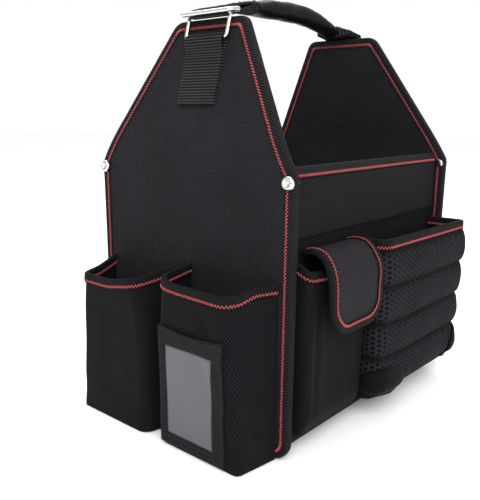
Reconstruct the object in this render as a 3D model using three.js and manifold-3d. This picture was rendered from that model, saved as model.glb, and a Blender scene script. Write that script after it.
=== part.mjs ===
// Open top tool tote: two stiff end panels, two low side walls, a base, outer pockets and a carry handle.
// Millimetres, +Z up. X runs from the near end (-X) to the far end (+X), and the front side is -Y.
// The origin is the middle of the flat underside.
import * as THREE from "three";
import { mergeVertices } from "three/addons/utils/BufferGeometryUtils.js";
import Module from "manifold-3d";

// Clearances and cloth
const gap = 0.3; // between neighbouring pieces
const tapeWall = 1; // thickness of the folded edge tape
const tapeWidth = 8.5; // how far the tape reaches in from an edge
const clothWall = 2; // pocket cloth
const sideWall = 3; // side walls, stiffened cloth
const tapeProud = gap + tapeWall; // how far a tape stands off the cloth it binds

// End panels
const panelInner = 120; // inner face of a panel's tape from the middle
const panelCore = 4.4; // stiff board and cloth between the tape's legs
const shoulderHalf = 107; // half width at the shoulders
const bottomDraw = 1.5;
const bottomHalf = shoulderHalf - bottomDraw; // half width at the bottom
const topHalf = 37; // half width of the top edge
const shoulderHeight = 219;
const panelHeight = 335;
const panelLean = 28; // how far the top leans in over the compartment
const leanBlend = 0.25; // share of the sloped height in which the lean sets in
const bottomCorner = 16;
const shoulderCorner = 12;
const topCorner = 12;
const leanSteps = 4; // rows in the stretch where the lean sets in

// Side walls and base
const wallInset = 11; // outer face of a side wall in from the shoulders
const wallFace = shoulderHalf - wallInset;
const wallRise = 6;
const wallTop = shoulderHeight + wallRise;
const wallBend = 12; // outer radius from wall to base
const baseThick = 4;
const bandTop = wallTop - tapeWidth - gap;
const bandHeight = 44.5;
const bandThick = 1.5;

// Rivets at the shoulders
const rivetInset = 5.2; // from the panel's edge
const rivetDrop = 4; // below the shoulders
const rivetHeight = shoulderHeight - rivetDrop;
const rivetCap = 6;
const rivetBack = 4.4;
const rivetShank = 2;
const rivetDome = 3;
const rivetDisc = 1.6;

// End pouches
const pouchTop = 143;
const pouchBottom = 1;
const pouchDepth = 41.5; // from the panel to the front of the rim
const pouchInset = 12.5; // outer side of a pouch in from the shoulders
const pouchOuter = shoulderHalf - pouchInset;
const pouchMiddle = 2.8; // inner side of a pouch from the middle
const pouchCorner = 10; // outer front corner radius at the rim
const pouchCornerInner = 20; // inner front corner radius at the rim
const pouchTaper = 20; // how far the rim's front corners draw in
const rimDrop = 13.5; // how far the rim sags between its ends

// Identity card sleeve on the near right pouch
const sleeveWidth = 69;
const sleeveHeight = 99;
const sleeveSide = 8.5; // nearest edge from the middle
const sleeveLift = 3;
const sleeveThick = 1.5;
const windowWidth = 50;
const windowHeight = 75;
const windowSide = 15.5;
const windowLift = 12;
const windowThick = 0.8;

// Front pocket with the flap
const flapPocketLeft = -112;
const flapPocketRight = -29.5;
const flapPocketDepth = 16.5;
const flapPocketTop = 157;
const flapPocketBottom = 18;
const flapPocketCorner = 6;
const flapMiddle = -68;
const flapHalf = 38;
const flapTuck = 3; // how much each side draws in towards the wall
const flapRise = 63.5; // from the lower edge up to the crown
const flapLow = 99.5;
const flapCorner = 24;
const flapCloth = 1.4;
const flapReach = 31; // from the wall to the front of the flap

// Front pocket with the padded ribs
const ribbedLeft = -27;
const ribbedRight = 117.8;
const ribbedFlare = 2.6; // how far the far side leans out
const ribbedTop = 162.5;
const ribbedBottom = 21;
const ribbedDepthLeft = 30;
const ribbedDepthRight = 35.5;
const ribbedWall = 3;
const ribbedCorner = 9;
const ribbedCornerFar = 6;
const ribSwell = 4.2; // how far a padded rib stands off its seams
const ribs = 4;
const footThick = 1.4;
const footGap = 0.6; // the patch bridges the mesh's facets
const footDrop = 1.5; // how far a patch reaches below the mesh
const footSwell = 7; // bulge of a patch half way up

// Back pocket
const backPocketHalf = 100;
const backPocketDepth = 18;
const backPocketTop = 150;
const backPocketBottom = 14;
const backPocketCorner = 8;

// Webbing tabs, rings and handle
const webbingWidth = 40;
const webbingThick = 1.7;
const strapLine = -2.5; // middle of the near tab and rings
const strapShift = 7; // how much further back the far ones sit
const tabInset = 66; // from the panel's top edge down to the tab's sewn end
const tabBottom = panelHeight - tabInset;
const farTabDrop = 15; // how much lower the far tab is sewn
const linkWire = 1.6; // wire radius
const linkHeight = 20; // between the two long bars
const linkInset = 15.5; // from the panel's top edge down to the near ring's lower bar
const linkBar = panelHeight - linkInset;
const strapWire = 1.8;
const strapInner = webbingWidth + 8; // wide enough to pass the link ring
const strapDepth = 12.5;
const strapBarGap = 5; // between the two bars in the handle's loop
const ringCorner = 3;
const ringBend = 3; // steps in a ring's corner
const handleRise = 24.5; // above the panels
const handleTop = panelHeight + handleRise;
const gripFrom = -52; // near mouth of the grip sleeve
const gripTo = 80; // far mouth
const gripWide = 17.5;
const gripTall = 16.5;
const gripEndWide = 21;
const gripEndTall = 11;
const gripSag = 3.5; // how much lower the grip's near end lies than its middle
const gripSagFar = 10; // the same at its far end
const flareNear = 21; // length over which the folded webbing opens out flat
const flareFar = 8;

const outline = panelInner + panelCore + 2 * tapeProud; // outer face of a panel's tape
const coreOuter = outline - tapeProud;
const coreInner = panelInner + tapeProud;
const pouchSeat = outline + gap;
const wallSeat = wallFace + gap;

const colours = {
  panelCloth: { color: 0x26262a, roughness: 0.85, metalness: 0 },
  tape: { color: 0x2c2c30, roughness: 0.8, metalness: 0 },
  wallCloth: { color: 0x202226, roughness: 0.75, metalness: 0 },
  wovenBand: { color: 0x2a2b30, roughness: 0.9, metalness: 0 },
  pouchCloth: { color: 0x29292f, roughness: 0.8, metalness: 0 },
  spacerMesh: { color: 0x2b2b30, roughness: 0.9, metalness: 0 },
  footCloth: { color: 0x2e2e31, roughness: 0.6, metalness: 0 },
  sleeveCloth: { color: 0x303034, roughness: 0.7, metalness: 0 },
  vinyl: { color: 0x707075, roughness: 0.3, metalness: 0 },
  webbing: { color: 0x25252a, roughness: 0.85, metalness: 0 },
  grip: { color: 0x2a2a2e, roughness: 0.5, metalness: 0 },
  nickel: { color: 0xc4c4c2, roughness: 0.25, metalness: 1 },
};
const materials = Object.fromEntries(
  Object.entries(colours).map(([name, look]) => [name, new THREE.MeshStandardMaterial({ name, ...look })]),
);

const tote = new THREE.Group();
tote.name = "tool_tote";

function add(name, geometry, material) {
  const mesh = new THREE.Mesh(geometry, materials[material]);
  mesh.name = name;
  tote.add(mesh);
}

const wasm = await Module();
wasm.setup();

function toSolid(geometry) {
  const plain = geometry.clone();
  plain.deleteAttribute("normal");
  plain.deleteAttribute("uv");
  const merged = mergeVertices(plain, 1e-4);
  const mesh = new wasm.Mesh({
    numProp: 3,
    vertProperties: merged.attributes.position.array,
    triVerts: new Uint32Array(merged.index.array),
  });
  return new wasm.Manifold(mesh);
}

function toGeometry(solid) {
  const mesh = solid.getMesh();
  const geometry = new THREE.BufferGeometry();
  const positions = new Float32Array(mesh.numVert * 3);
  for (let i = 0; i < mesh.numVert; i++) {
    positions.set(mesh.vertProperties.subarray(i * mesh.numProp, i * mesh.numProp + 3), i * 3);
  }
  geometry.setAttribute("position", new THREE.BufferAttribute(positions, 3));
  geometry.setIndex(new THREE.BufferAttribute(mesh.triVerts, 1));
  geometry.computeVertexNormals();
  return geometry;
}

const join = (first, second) => toGeometry(toSolid(first).add(toSolid(second)));
const cut = (body, ...tools) => toGeometry(tools.reduce((rest, tool) => rest.subtract(toSolid(tool)), toSolid(body)));

// A closed body through equal rings of points. Each end is capped by a strip across its ring,
// and a loop has no ends. The faces are turned outward by the sign of the volume.
function skin(rings, loop = false) {
  const around = rings[0].length;
  const spans = loop ? rings.length : rings.length - 1;
  const faces = [];
  for (let k = 0; k < spans; k++) {
    const here = k * around;
    const next = ((k + 1) % rings.length) * around;
    for (let i = 0; i < around; i++) {
      const j = (i + 1) % around;
      faces.push([here + i, here + j, next + j], [here + i, next + j, next + i]);
    }
  }
  if (!loop) {
    const end = (rings.length - 1) * around;
    for (let i = 0; i + 1 < around - 1 - i; i++) {
      const far = around - 1 - i;
      faces.push([i, far, i + 1], [end + i, end + i + 1, end + far]);
      if (i + 1 < far - 1) {
        faces.push([i + 1, far, far - 1], [end + i + 1, end + far - 1, end + far]);
      }
    }
  }
  const points = rings.flat();
  const crossed = new THREE.Vector3();
  const volume = faces.reduce(
    (sum, [a, b, c]) => sum + points[a].dot(crossed.crossVectors(points[b], points[c])),
    0,
  );
  const turned = volume < 0 ? faces.map(([a, b, c]) => [a, c, b]) : faces;
  const geometry = new THREE.BufferGeometry().setFromPoints(points);
  geometry.setIndex(turned.flat());
  geometry.computeVertexNormals();
  return geometry;
}

// A block between two opposite corners.
function block(low, high) {
  const size = high.map((value, axis) => value - low[axis]);
  const middle = high.map((value, axis) => (value + low[axis]) / 2);
  return new THREE.BoxGeometry(...size).translate(...middle);
}

// A table's column at a share along it, with straight lines between its rows.
function reading(table, key, column, share) {
  const after = table.findIndex((row) => row[key] >= share);
  if (after <= 0) {
    return table[after === 0 ? 0 : table.length - 1][column];
  }
  const from = table[after - 1];
  const to = table[after];
  return THREE.MathUtils.mapLinear(share, from[key], to[key], from[column], to[column]);
}

// A path through corners {p, q, radius} with round corners. Each point carries the normal that points
// to the left of its direction, and straight stretches get extra points at the given q levels.
function roundedPath(corners, bendSteps, levels = []) {
  const path = [];
  const lay = (p, q, np, nq) => path.push({ p, q, np, nq });
  const lines = corners.slice(1).map((to, k) => {
    const from = corners[k];
    const length = Math.hypot(to.p - from.p, to.q - from.q);
    return { dp: (to.p - from.p) / length, dq: (to.q - from.q) / length, length };
  });
  let start = { p: corners[0].p, q: corners[0].q };
  lines.forEach((line, k) => {
    const corner = corners[k + 1];
    const after = lines[k + 1];
    const turn = after ? Math.atan2(line.dp * after.dq - line.dq * after.dp, line.dp * after.dp + line.dq * after.dq) : 0;
    const cutBack = after ? corner.radius * Math.tan(Math.abs(turn) / 2) : 0;
    const end = { p: corner.p - line.dp * cutBack, q: corner.q - line.dq * cutBack };
    lay(start.p, start.q, -line.dq, line.dp);
    levels
      .filter((level) => (level - start.q) * (level - end.q) < 0)
      .sort((a, b) => (a - b) * line.dq)
      .forEach((level) => {
        const share = (level - start.q) / (end.q - start.q);
        lay(start.p + (end.p - start.p) * share, level, -line.dq, line.dp);
      });
    lay(end.p, end.q, -line.dq, line.dp);
    if (after) {
      const side = Math.sign(turn);
      const centre = { p: end.p - line.dq * corner.radius * side, q: end.q + line.dp * corner.radius * side };
      for (let step = 1; step < bendSteps; step++) {
        const angle = (turn * step) / bendSteps;
        const dp = line.dp * Math.cos(angle) - line.dq * Math.sin(angle);
        const dq = line.dp * Math.sin(angle) + line.dq * Math.cos(angle);
        lay(centre.p + dq * corner.radius * side, centre.q - dp * corner.radius * side, -dq, dp);
      }
      start = { p: corner.p + after.dp * cutBack, q: corner.q + after.dq * cutBack };
    }
  });
  return path;
}

// How far an end panel leans in at a height: nothing below the shoulders, then a short bend and a straight slope.
function leanAt(z) {
  const share = (z - shoulderHeight) / (panelHeight - shoulderHeight);
  const slope = panelLean / (1 - leanBlend / 2);
  if (share <= 0) {
    return 0;
  }
  return share < leanBlend ? (slope * share * share) / (2 * leanBlend) : slope * (share - leanBlend / 2);
}

// The right half of an end panel's outline, from the middle of the bottom to the middle of the top,
// with the normal pointing inward.
const bendRows = Array.from(
  { length: leanSteps },
  (_, step) => shoulderHeight + ((panelHeight - shoulderHeight) * leanBlend * (step + 1)) / leanSteps,
);
const halfOutline = roundedPath(
  [
    { p: 0, q: 0 },
    { p: bottomHalf, q: 0, radius: bottomCorner },
    { p: shoulderHalf, q: shoulderHeight, radius: shoulderCorner },
    { p: topHalf, q: panelHeight, radius: topCorner },
    { p: 0, q: panelHeight },
  ],
  4,
  bendRows,
);

// The four-sided section of an edge tape folded over cloth: depth in from the edge, and place across the cloth.
function tapeSection(cloth, width = tapeWidth, standoff = gap, wall = tapeWall) {
  const inside = cloth / 2 + standoff;
  const outside = inside + wall;
  return [
    [width, -outside],
    [0, -outside],
    [0, outside],
    [width, outside],
    [width, inside],
    [wall, inside],
    [wall, -inside],
    [width, -inside],
  ].map(([depth, across]) => ({ depth, across }));
}

function cylinderAlongX(radius, from, to, y, z) {
  return new THREE.CylinderGeometry(radius, radius, to - from, 12)
    .rotateZ(Math.PI / 2)
    .translate((from + to) / 2, y, z);
}

function endPanel(label, side) {
  const middle = (coreInner + coreOuter) / 2;
  const place = (y, z, across) => new THREE.Vector3(side * (middle + across - leanAt(z)), y, z);
  const rows = halfOutline
    .filter((point) => point.p > 0)
    .map((point) => {
      const y = point.p + point.np * tapeProud;
      const z = point.q + point.nq * tapeProud;
      const half = panelCore / 2;
      return [place(-y, z, -half), place(y, z, -half), place(y, z, half), place(-y, z, half)];
    });
  const section = tapeSection(panelCore);
  const loop = [...halfOutline.filter((point) => point.p > 0)];
  const mirrored = loop.map((point) => ({ ...point, p: -point.p, np: -point.np })).reverse();
  const tapeRings = [...loop, ...mirrored].map((point) =>
    section.map(({ depth, across }) => place(point.p + point.np * depth, point.q + point.nq * depth, across)),
  );
  const holes = [-1, 1].map((way) =>
    cylinderAlongX(rivetShank + gap, -outline * 2, outline * 2, way * (shoulderHalf - rivetInset), rivetHeight),
  );
  add("end_panel_" + label, cut(skin(rows), ...holes), "panelCloth");
  add("panel_tape_" + label, cut(skin(tapeRings, true), ...holes), "tape");
  for (const [edge, way] of Object.entries({ front: -1, back: 1 })) {
    add("rivet_" + label + "_" + edge, rivet(side, way * (shoulderHalf - rivetInset)), "nickel");
  }
}

// A rivet turned about its own axis: domed cap with a hollow outside, shank, and disc inside.
function rivet(side, y) {
  const through = outline - panelInner + 2 * gap;
  const profile = [
    [0, rivetDome * 0.6],
    [rivetCap * 0.36, rivetDome * 0.6],
    [rivetCap * 0.55, rivetDome],
    [rivetCap * 0.8, rivetDome * 0.9],
    [rivetCap, rivetDome * 0.4],
    [rivetCap, 0],
    [rivetShank, 0],
    [rivetShank, -through],
    [rivetBack, -through],
    [rivetBack, -through - rivetDisc * 0.6],
    [rivetBack * 0.7, -through - rivetDisc],
    [0, -through - rivetDisc],
  ].map(([radius, height]) => new THREE.Vector2(radius, height));
  return new THREE.LatheGeometry(profile.reverse(), 10)
    .rotateZ((-side * Math.PI) / 2)
    .translate(side * (outline + gap), y, rivetHeight);
}

// A side wall: straight down, then round into the base. Its ends are stepped back where the tapes pass.
function sideWallWith(label, side) {
  const path = roundedPath(
    [
      { p: wallFace, q: wallTop - tapeProud },
      { p: wallFace, q: 0, radius: wallBend },
      { p: wallFace - wallBend, q: 0 },
    ],
    5,
  );
  const end = coreInner - gap;
  const ring = (x) => [
    ...path.map((point) => new THREE.Vector3(x, side * point.p, point.q)),
    ...path.map((point) => new THREE.Vector3(x, side * (point.p + point.np * -sideWall), point.q - point.nq * sideWall)).reverse(),
  ];
  const stop = panelInner - 2 * gap;
  const notches = [-1, 1].flatMap((way) =>
    [
      [-gap, bottomCorner + gap],
      [shoulderHeight - tapeWidth, wallTop],
    ].map(([low, high]) => {
      const across = [way * stop, way * (end + gap)].sort((a, b) => a - b);
      const out = [0, side * (wallFace + gap)].sort((a, b) => a - b);
      return block([across[0], out[0], low], [across[1], out[1], high]);
    }),
  );
  add("side_wall_" + label, cut(skin([ring(-end), ring(end)]), ...notches), "wallCloth");
  const section = tapeSection(sideWall);
  const tape = (x) =>
    section.map(({ depth, across }) => new THREE.Vector3(x, side * (wallFace - sideWall / 2 + across), wallTop - depth));
  add("wall_tape_" + label, skin([tape(-stop), tape(stop)]), "tape");
}

// A pocket's wall is a U in plan: out from the surface that carries it, round the front and back again.
// spec.sections holds, up the height, shares of the depth, the corner radius and the taper. The taper of the
// U's second side may have a column of its own.
// spec.rim holds, along the U, the share of the rim's drop.
const sideSteps = 2;
const bendSteps = 3;

function pocketShape(spec) {
  const frontSteps = spec.frontSteps ?? 4;
  const count = 2 * sideSteps + 2 * bendSteps + frontSteps;
  function planAt(z) {
    const share = THREE.MathUtils.clamp((z - spec.bottom) / (spec.top - spec.bottom), 0, 1);
    const depth = reading(spec.sections, "height", "depth", share);
    const taper = reading(spec.sections, "height", "taper", share);
    const secondTaper = reading(spec.sections, "height", spec.taperColumn ?? "taper", share);
    const round = reading(spec.sections, "height", "corner", share);
    const path = roundedPath(
      [
        { p: spec.from, q: 0 },
        { p: spec.from + spec.taperFrom * taper, q: spec.depthFrom * depth, radius: spec.cornerFrom * round },
        { p: spec.to - spec.taperTo * secondTaper, q: spec.depthTo * depth, radius: spec.cornerTo * round },
        { p: spec.to, q: 0 },
      ],
      bendSteps,
    );
    const [side, front, back] = [0, bendSteps + 1, 2 * bendSteps + 2];
    return [
      ...spread(path[side], path[side + 1], sideSteps),
      ...path.slice(side + 1, front),
      ...spread(path[front], path[front + 1], frontSteps),
      ...path.slice(front + 1, back),
      ...spread(path[back], path[back + 1], sideSteps),
      path[back + 1],
    ];
  }
  // A point of the U stood off the wall's outer face. At the two ends it slides along the seat.
  function at(i, z, offset) {
    const point = planAt(z)[i];
    if (i === 0 || i === count) {
      return spec.place(point.p + offset / point.np, 0, z);
    }
    return spec.place(point.p + point.np * offset, point.q + point.nq * offset, z);
  }
  const rimAt = (i) => spec.top - spec.drop * reading(spec.rim, "along", "drop", i / count);
  const indices = Array.from({ length: count + 1 }, (_, i) => i);
  return { ...spec, at, rimAt, indices, count, frontSteps };
}

// Points from one path point towards another, without the last.
function spread(from, to, steps) {
  return Array.from({ length: steps }, (_, step) => {
    const share = step / steps;
    return { ...from, p: from.p + (to.p - from.p) * share, q: from.q + (to.q - from.q) * share };
  });
}

// Height of a wall row: shares run from the underside to the tape's lower edge, and past 1 to the cloth's top.
function rowHeight(shape, i, share) {
  const tapeLow = shape.rimAt(i) - tapeWidth;
  return share > 1 ? shape.rimAt(i) - tapeProud : shape.bottom + (tapeLow - shape.bottom) * share;
}

// The wall and floor of a pocket in one body.
function pocketBody(shape, shares, swell = () => 0) {
  const rings = [...shares, 2].map((share) => [
    ...shape.indices.map((i) => shape.at(i, rowHeight(shape, i, share), swell(i, share))),
    ...shape.indices.map((i) => shape.at(i, rowHeight(shape, i, share), -shape.wall)).reverse(),
  ]);
  const floor = [shape.bottom, shape.bottom + shape.wall].map((z) =>
    shape.indices.map((i) => shape.at(i, z, -shape.wall / 2)),
  );
  return join(skin(rings), skin(floor));
}

// The tape folded over a pocket's rim.
function pocketTape(shape) {
  const rings = shape.indices.map((i) =>
    tapeSection(shape.wall).map(({ depth, across }) =>
      shape.at(i, shape.rimAt(i) - depth, across - shape.wall / 2),
    ),
  );
  return skin(rings);
}

const pouchRows = [0, 0.15, 0.7, 1];

// Two pouches on each end panel, the far pair as a mirror image of the near pair.
const frontSections = [
  { height: 0, depth: 0.92, taper: 0.25, corner: 0.5 },
  { height: 0.7, depth: 0.95, taper: 0.5, corner: 0.5 },
  { height: 1, depth: 1, taper: 1, corner: 1 },
];
const backSections = [
  { height: 0, depth: 0.97, taper: 0.4, outerTaper: -0.2, corner: 0.5 },
  { height: 0.15, depth: 0.96, taper: 0.42, outerTaper: 0.1, corner: 0.5 },
  { height: 0.7, depth: 0.95, taper: 0.6, outerTaper: 0.6, corner: 0.5 },
  { height: 1, depth: 1, taper: 1, outerTaper: 1, corner: 1 },
];
const pouches = [
  {
    label: "front",
    sections: frontSections,
    from: -pouchOuter,
    to: -pouchMiddle,
    taperFrom: pouchTaper,
    taperTo: pouchTaper * 0.15,
    cornerFrom: pouchCorner,
    cornerTo: pouchCornerInner,
    rim: [
      { along: 0, drop: 0.1 },
      { along: 0.07, drop: 0.13 },
      { along: 0.14, drop: 0.5 },
      { along: 0.3, drop: 0.5 },
      { along: 0.6, drop: 0.42 },
      { along: 0.85, drop: 0.18 },
      { along: 1, drop: 0 },
    ],
  },
  {
    label: "back",
    sections: backSections,
    taperColumn: "outerTaper",
    from: pouchMiddle,
    to: pouchOuter,
    taperFrom: pouchTaper,
    taperTo: pouchTaper * 0.45,
    cornerFrom: pouchCornerInner,
    cornerTo: pouchCorner,
    rim: [
      { along: 0, drop: 0.1 },
      { along: 0.3, drop: 0.8 },
      { along: 0.5, drop: 1.2 },
      { along: 0.72, drop: 1.2 },
      { along: 0.85, drop: 1.05 },
      { along: 1, drop: 0.6 },
    ],
  },
];

function pouchShape(pouch, side) {
  return pocketShape({
    ...pouch,
    depthFrom: pouchDepth,
    depthTo: pouchDepth,
    bottom: pouchBottom,
    top: pouchTop,
    drop: rimDrop,
    wall: clothWall,
    place: (p, q, z) => new THREE.Vector3(side * (pouchSeat + q), p, z),
  });
}

function endPouches(label, side) {
  for (const pouch of pouches) {
    const shape = pouchShape(pouch, side);
    add("pouch_" + label + "_" + pouch.label, pocketBody(shape, pouchRows), "pouchCloth");
    add("pouch_tape_" + label + "_" + pouch.label, pocketTape(shape), "tape");
  }
}

// The card sleeve and its window lie on the flat front of the near front pouch and follow its slope.
function cardSleeve() {
  const shape = pouchShape(pouches[0], -1);
  const frontAt = (z) => shape.at(sideSteps + bendSteps + 1, z, 0).x;
  const sheet = (side, low, width, height, from, to) =>
    skin(
      [low, low + height].map((z) =>
        [
          [-side, from],
          [-side - width, from],
          [-side - width, to],
          [-side, to],
        ].map(([y, off]) => new THREE.Vector3(frontAt(z) - off, y, z)),
      ),
    );
  const thick = gap + sleeveThick;
  const opening = sheet(
    windowSide - gap,
    windowLift - gap,
    windowWidth + 2 * gap,
    windowHeight + 2 * gap,
    -sleeveThick,
    thick + sleeveThick,
  );
  add("card_sleeve", cut(sheet(sleeveSide, sleeveLift, sleeveWidth, sleeveHeight, gap, thick), opening), "sleeveCloth");
  const glass = sheet(windowSide, windowLift, windowWidth, windowHeight, gap, gap + windowThick);
  add("card_window", glass, "vinyl");
}

// Front pocket under the flap.
function flapPocket() {
  const shape = pocketShape({
    from: flapPocketLeft,
    to: flapPocketRight,
    taperFrom: 0,
    taperTo: 0,
    depthFrom: flapPocketDepth,
    depthTo: flapPocketDepth,
    cornerFrom: flapPocketCorner,
    cornerTo: flapPocketCorner,
    bottom: flapPocketBottom,
    top: flapPocketTop,
    drop: tapeWidth,
    wall: clothWall,
    place: (p, q, z) => new THREE.Vector3(p, -(wallSeat + q), z),
    sections: [
      { height: 0, depth: 0.5, taper: 0, corner: 0.7 },
      { height: 0.045, depth: 0.8, taper: 0, corner: 0.8 },
      { height: 0.1, depth: 0.97, taper: 0, corner: 1 },
      { height: 1, depth: 1, taper: 0, corner: 1 },
    ],
    rim: [
      { along: 0, drop: 0 },
      { along: 0.14, drop: 0.85 },
      { along: 0.3, drop: 1 },
      { along: 1, drop: 0.9 },
    ],
  });
  add("flap_pocket", pocketBody(shape, [0, 0.04, 0.12, 0.4, 0.7, 1]), "pouchCloth");
  add("flap_pocket_tape", pocketTape(shape), "tape");
}

// The flap's course from the wall over the pocket and down: shares of its reach and of its rise.
const flapCourse = [
  { reach: 0.025, rise: 0.97 },
  { reach: 0.3, rise: 1 },
  { reach: 0.62, rise: 0.96 },
  { reach: 0.87, rise: 0.78 },
  { reach: 0.98, rise: 0.42 },
  { reach: 1, rise: 0 },
];

function flap() {
  const curve = new THREE.CatmullRomCurve3(
    flapCourse.map(({ reach, rise }) => new THREE.Vector3(0, -(wallSeat + reach * flapReach), flapLow + rise * flapRise)),
  );
  const length = curve.getLength();
  // p runs across from the middle, q up from the lower edge along the course, and across is out of the cloth.
  const place = (p, q, across) => {
    const share = THREE.MathUtils.clamp(1 - q / length, 0, 1);
    const point = curve.getPointAt(share);
    const run = curve.getTangentAt(share);
    return new THREE.Vector3(flapMiddle + p, point.y - run.z * -across, point.z + run.y * -across);
  };
  const half = roundedPath(
    [
      { p: 0, q: 0 },
      { p: flapHalf, q: 0, radius: flapCorner },
      { p: flapHalf, q: length * 0.6, radius: flapCorner },
      { p: flapHalf - flapTuck, q: length },
    ],
    5,
    [0.35, 0.45, 0.53, 0.61, 0.69, 0.77, 0.86].map((share) => share * length),
  );
  const rows = half.slice(1).map((point) => {
    const p = point.p + point.np * tapeProud;
    const q = point.q + point.nq * tapeProud;
    const out = flapCloth / 2;
    return [place(-p, q, -out), place(p, q, -out), place(p, q, out), place(-p, q, out)];
  });
  add("flap", skin(rows), "pouchCloth");
  const mirrored = half.slice(1).map((point) => ({ ...point, p: -point.p, np: -point.np }));
  const section = tapeSection(flapCloth);
  const rings = [...mirrored.reverse(), ...half.slice(1)].map((point) =>
    section.map(({ depth, across }) => place(point.p + point.np * depth, point.q + point.nq * depth, across)),
  );
  add("flap_tape", skin(rings), "tape");
}

// Front pocket of padded mesh, stitched down into level ribs, with a smooth patch round each lower corner.
const ribbedSections = [
  { height: 0, depth: 0.66, taper: 0.6, corner: 0.7 },
  { height: 0.045, depth: 0.78, taper: 0.8, corner: 0.9 },
  { height: 0.11, depth: 0.83, taper: 1, corner: 1 },
  { height: 0.3, depth: 0.85, taper: 1, corner: 1 },
  { height: 0.53, depth: 0.92, taper: 1, corner: 1 },
  { height: 0.75, depth: 0.97, taper: 1, corner: 1 },
  { height: 1, depth: 1, taper: 1, corner: 1 },
];
const ribBase = 0.05; // share of the height below the lowest rib
const ribRows = 3;
const footRows = 5;
const footStepsNear = 3;
const footStepsFar = 1;

function ribbedPocket() {
  const shape = pocketShape({
    from: ribbedLeft,
    to: ribbedRight,
    taperFrom: ribbedFlare / 2,
    taperTo: -ribbedFlare,
    depthFrom: ribbedDepthLeft,
    depthTo: ribbedDepthRight,
    cornerFrom: ribbedCorner,
    cornerTo: ribbedCornerFar,
    bottom: ribbedBottom,
    top: ribbedTop,
    drop: 0,
    wall: ribbedWall,
    frontSteps: 8,
    place: (p, q, z) => new THREE.Vector3(p, -(wallSeat + q), z),
    sections: ribbedSections,
    rim: [
      { along: 0, drop: 0 },
      { along: 1, drop: 0 },
    ],
  });
  const shares = [
    0,
    ribBase / 2,
    ...Array.from({ length: ribs * ribRows + 1 }, (_, k) => ribBase + ((1 - ribBase) * k) / (ribs * ribRows)),
  ];
  const swell = (i, share) => {
    const along = Math.min(i, shape.count - i) / (sideSteps + bendSteps);
    const rib = share > 1 ? 0 : ((share - ribBase) / (1 - ribBase)) * ribs;
    return rib <= 0 ? 0 : ribSwell * Math.min(along, 1) * Math.abs(Math.sin(Math.PI * rib)) ** 0.7;
  };
  add("ribbed_pocket", pocketBody(shape, shares, swell), "spacerMesh");
  add("ribbed_pocket_tape", pocketTape(shape), "tape");
  const lastBend = shape.count - sideSteps - bendSteps;
  const feet = {
    near: [sideSteps, sideSteps + bendSteps + footStepsNear],
    far: [lastBend - footStepsFar, shape.count - sideSteps],
  };
  for (const [label, [first, last]] of Object.entries(feet)) {
    const span = shape.indices.slice(first, last + 1);
    const rings = shares.slice(0, footRows + 1).map((share, row) => {
      const drop = row === 0 ? footDrop : 0;
      const bulge = footSwell * Math.sin((Math.PI * (row + 1)) / (footRows + 2)) ** 2;
      const lay = (i, off) => {
        const ease = Math.sin((Math.PI * (i - first)) / (last - first));
        return shape.at(i, rowHeight(shape, i, share) - drop, swell(i, share) + bulge * ease + off);
      };
      return [...span.map((i) => lay(i, footGap + footThick)), ...span.map((i) => lay(i, footGap)).reverse()];
    });
    add("foot_patch_" + label, skin(rings), "footCloth");
  }
}

// Plain pocket along the back side.
function backPocket() {
  const shape = pocketShape({
    from: -backPocketHalf,
    to: backPocketHalf,
    taperFrom: 0,
    taperTo: 0,
    depthFrom: backPocketDepth,
    depthTo: backPocketDepth,
    cornerFrom: backPocketCorner,
    cornerTo: backPocketCorner,
    bottom: backPocketBottom,
    top: backPocketTop,
    drop: 0,
    wall: clothWall,
    place: (p, q, z) => new THREE.Vector3(p, wallSeat + q, z),
    sections: [
      { height: 0, depth: 0.6, taper: 0, corner: 0.8 },
      { height: 0.1, depth: 0.97, taper: 0, corner: 1 },
      { height: 1, depth: 1, taper: 0, corner: 1 },
    ],
    rim: [
      { along: 0, drop: 0 },
      { along: 1, drop: 0 },
    ],
  });
  add("back_pocket", pocketBody(shape, [0, 0.11, 0.5, 1]), "pouchCloth");
  add("back_pocket_tape", pocketTape(shape), "tape");
}

// Woven band across the front wall, tucked in under the wall's tape.
function wovenBand() {
  const stop = panelInner - rivetDisc - 3 * gap;
  const far = wallSeat + bandThick;
  add("woven_band", block([-stop, -far, bandTop - bandHeight], [stop, -wallSeat, bandTop]), "wovenBand");
}

function base() {
  const half = wallFace - wallBend - gap;
  const stop = panelInner - 2 * gap;
  add("base", block([-stop, -half, 0], [stop, half, baseThick]), "wallCloth");
}

// A strip of webbing along a path, across the strap line. place turns (p, q, across) into a point.
function strip(path, thick, width, place) {
  const course = path.filter(
    (point, k) => k === 0 || Math.hypot(point.p - path[k - 1].p, point.q - path[k - 1].q) > gap / 10,
  );
  const section = (across) => {
    const side = (way) =>
      course.map((point) =>
        place(point.p + (point.np * way * thick) / 2, point.q + (point.nq * way * thick) / 2, across),
      );
    return [...side(1), ...side(-1).reverse()];
  };
  return skin([section(-width / 2), section(width / 2)]);
}

// A closed ring of round wire along a rounded rectangle, w by h between wire centres.
// place turns (across, up, out of plane) into a point.
function wireRing(w, h, wire, place) {
  const path = roundedPath(
    [
      { p: 0, q: 0 },
      { p: w / 2, q: 0, radius: ringCorner },
      { p: w / 2, q: h, radius: ringCorner },
      { p: -w / 2, q: h, radius: ringCorner },
      { p: -w / 2, q: 0, radius: ringCorner },
      { p: 0, q: 0 },
    ],
    ringBend,
  ).slice(1, -1);
  const around = 8;
  const rings = path.map((point) =>
    Array.from({ length: around }, (_, k) => {
      const angle = (2 * Math.PI * k) / around;
      const inward = wire * Math.cos(angle);
      return place(point.p + point.np * inward, point.q + point.nq * inward, wire * Math.sin(angle));
    }),
  );
  return skin(rings, true);
}

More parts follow.
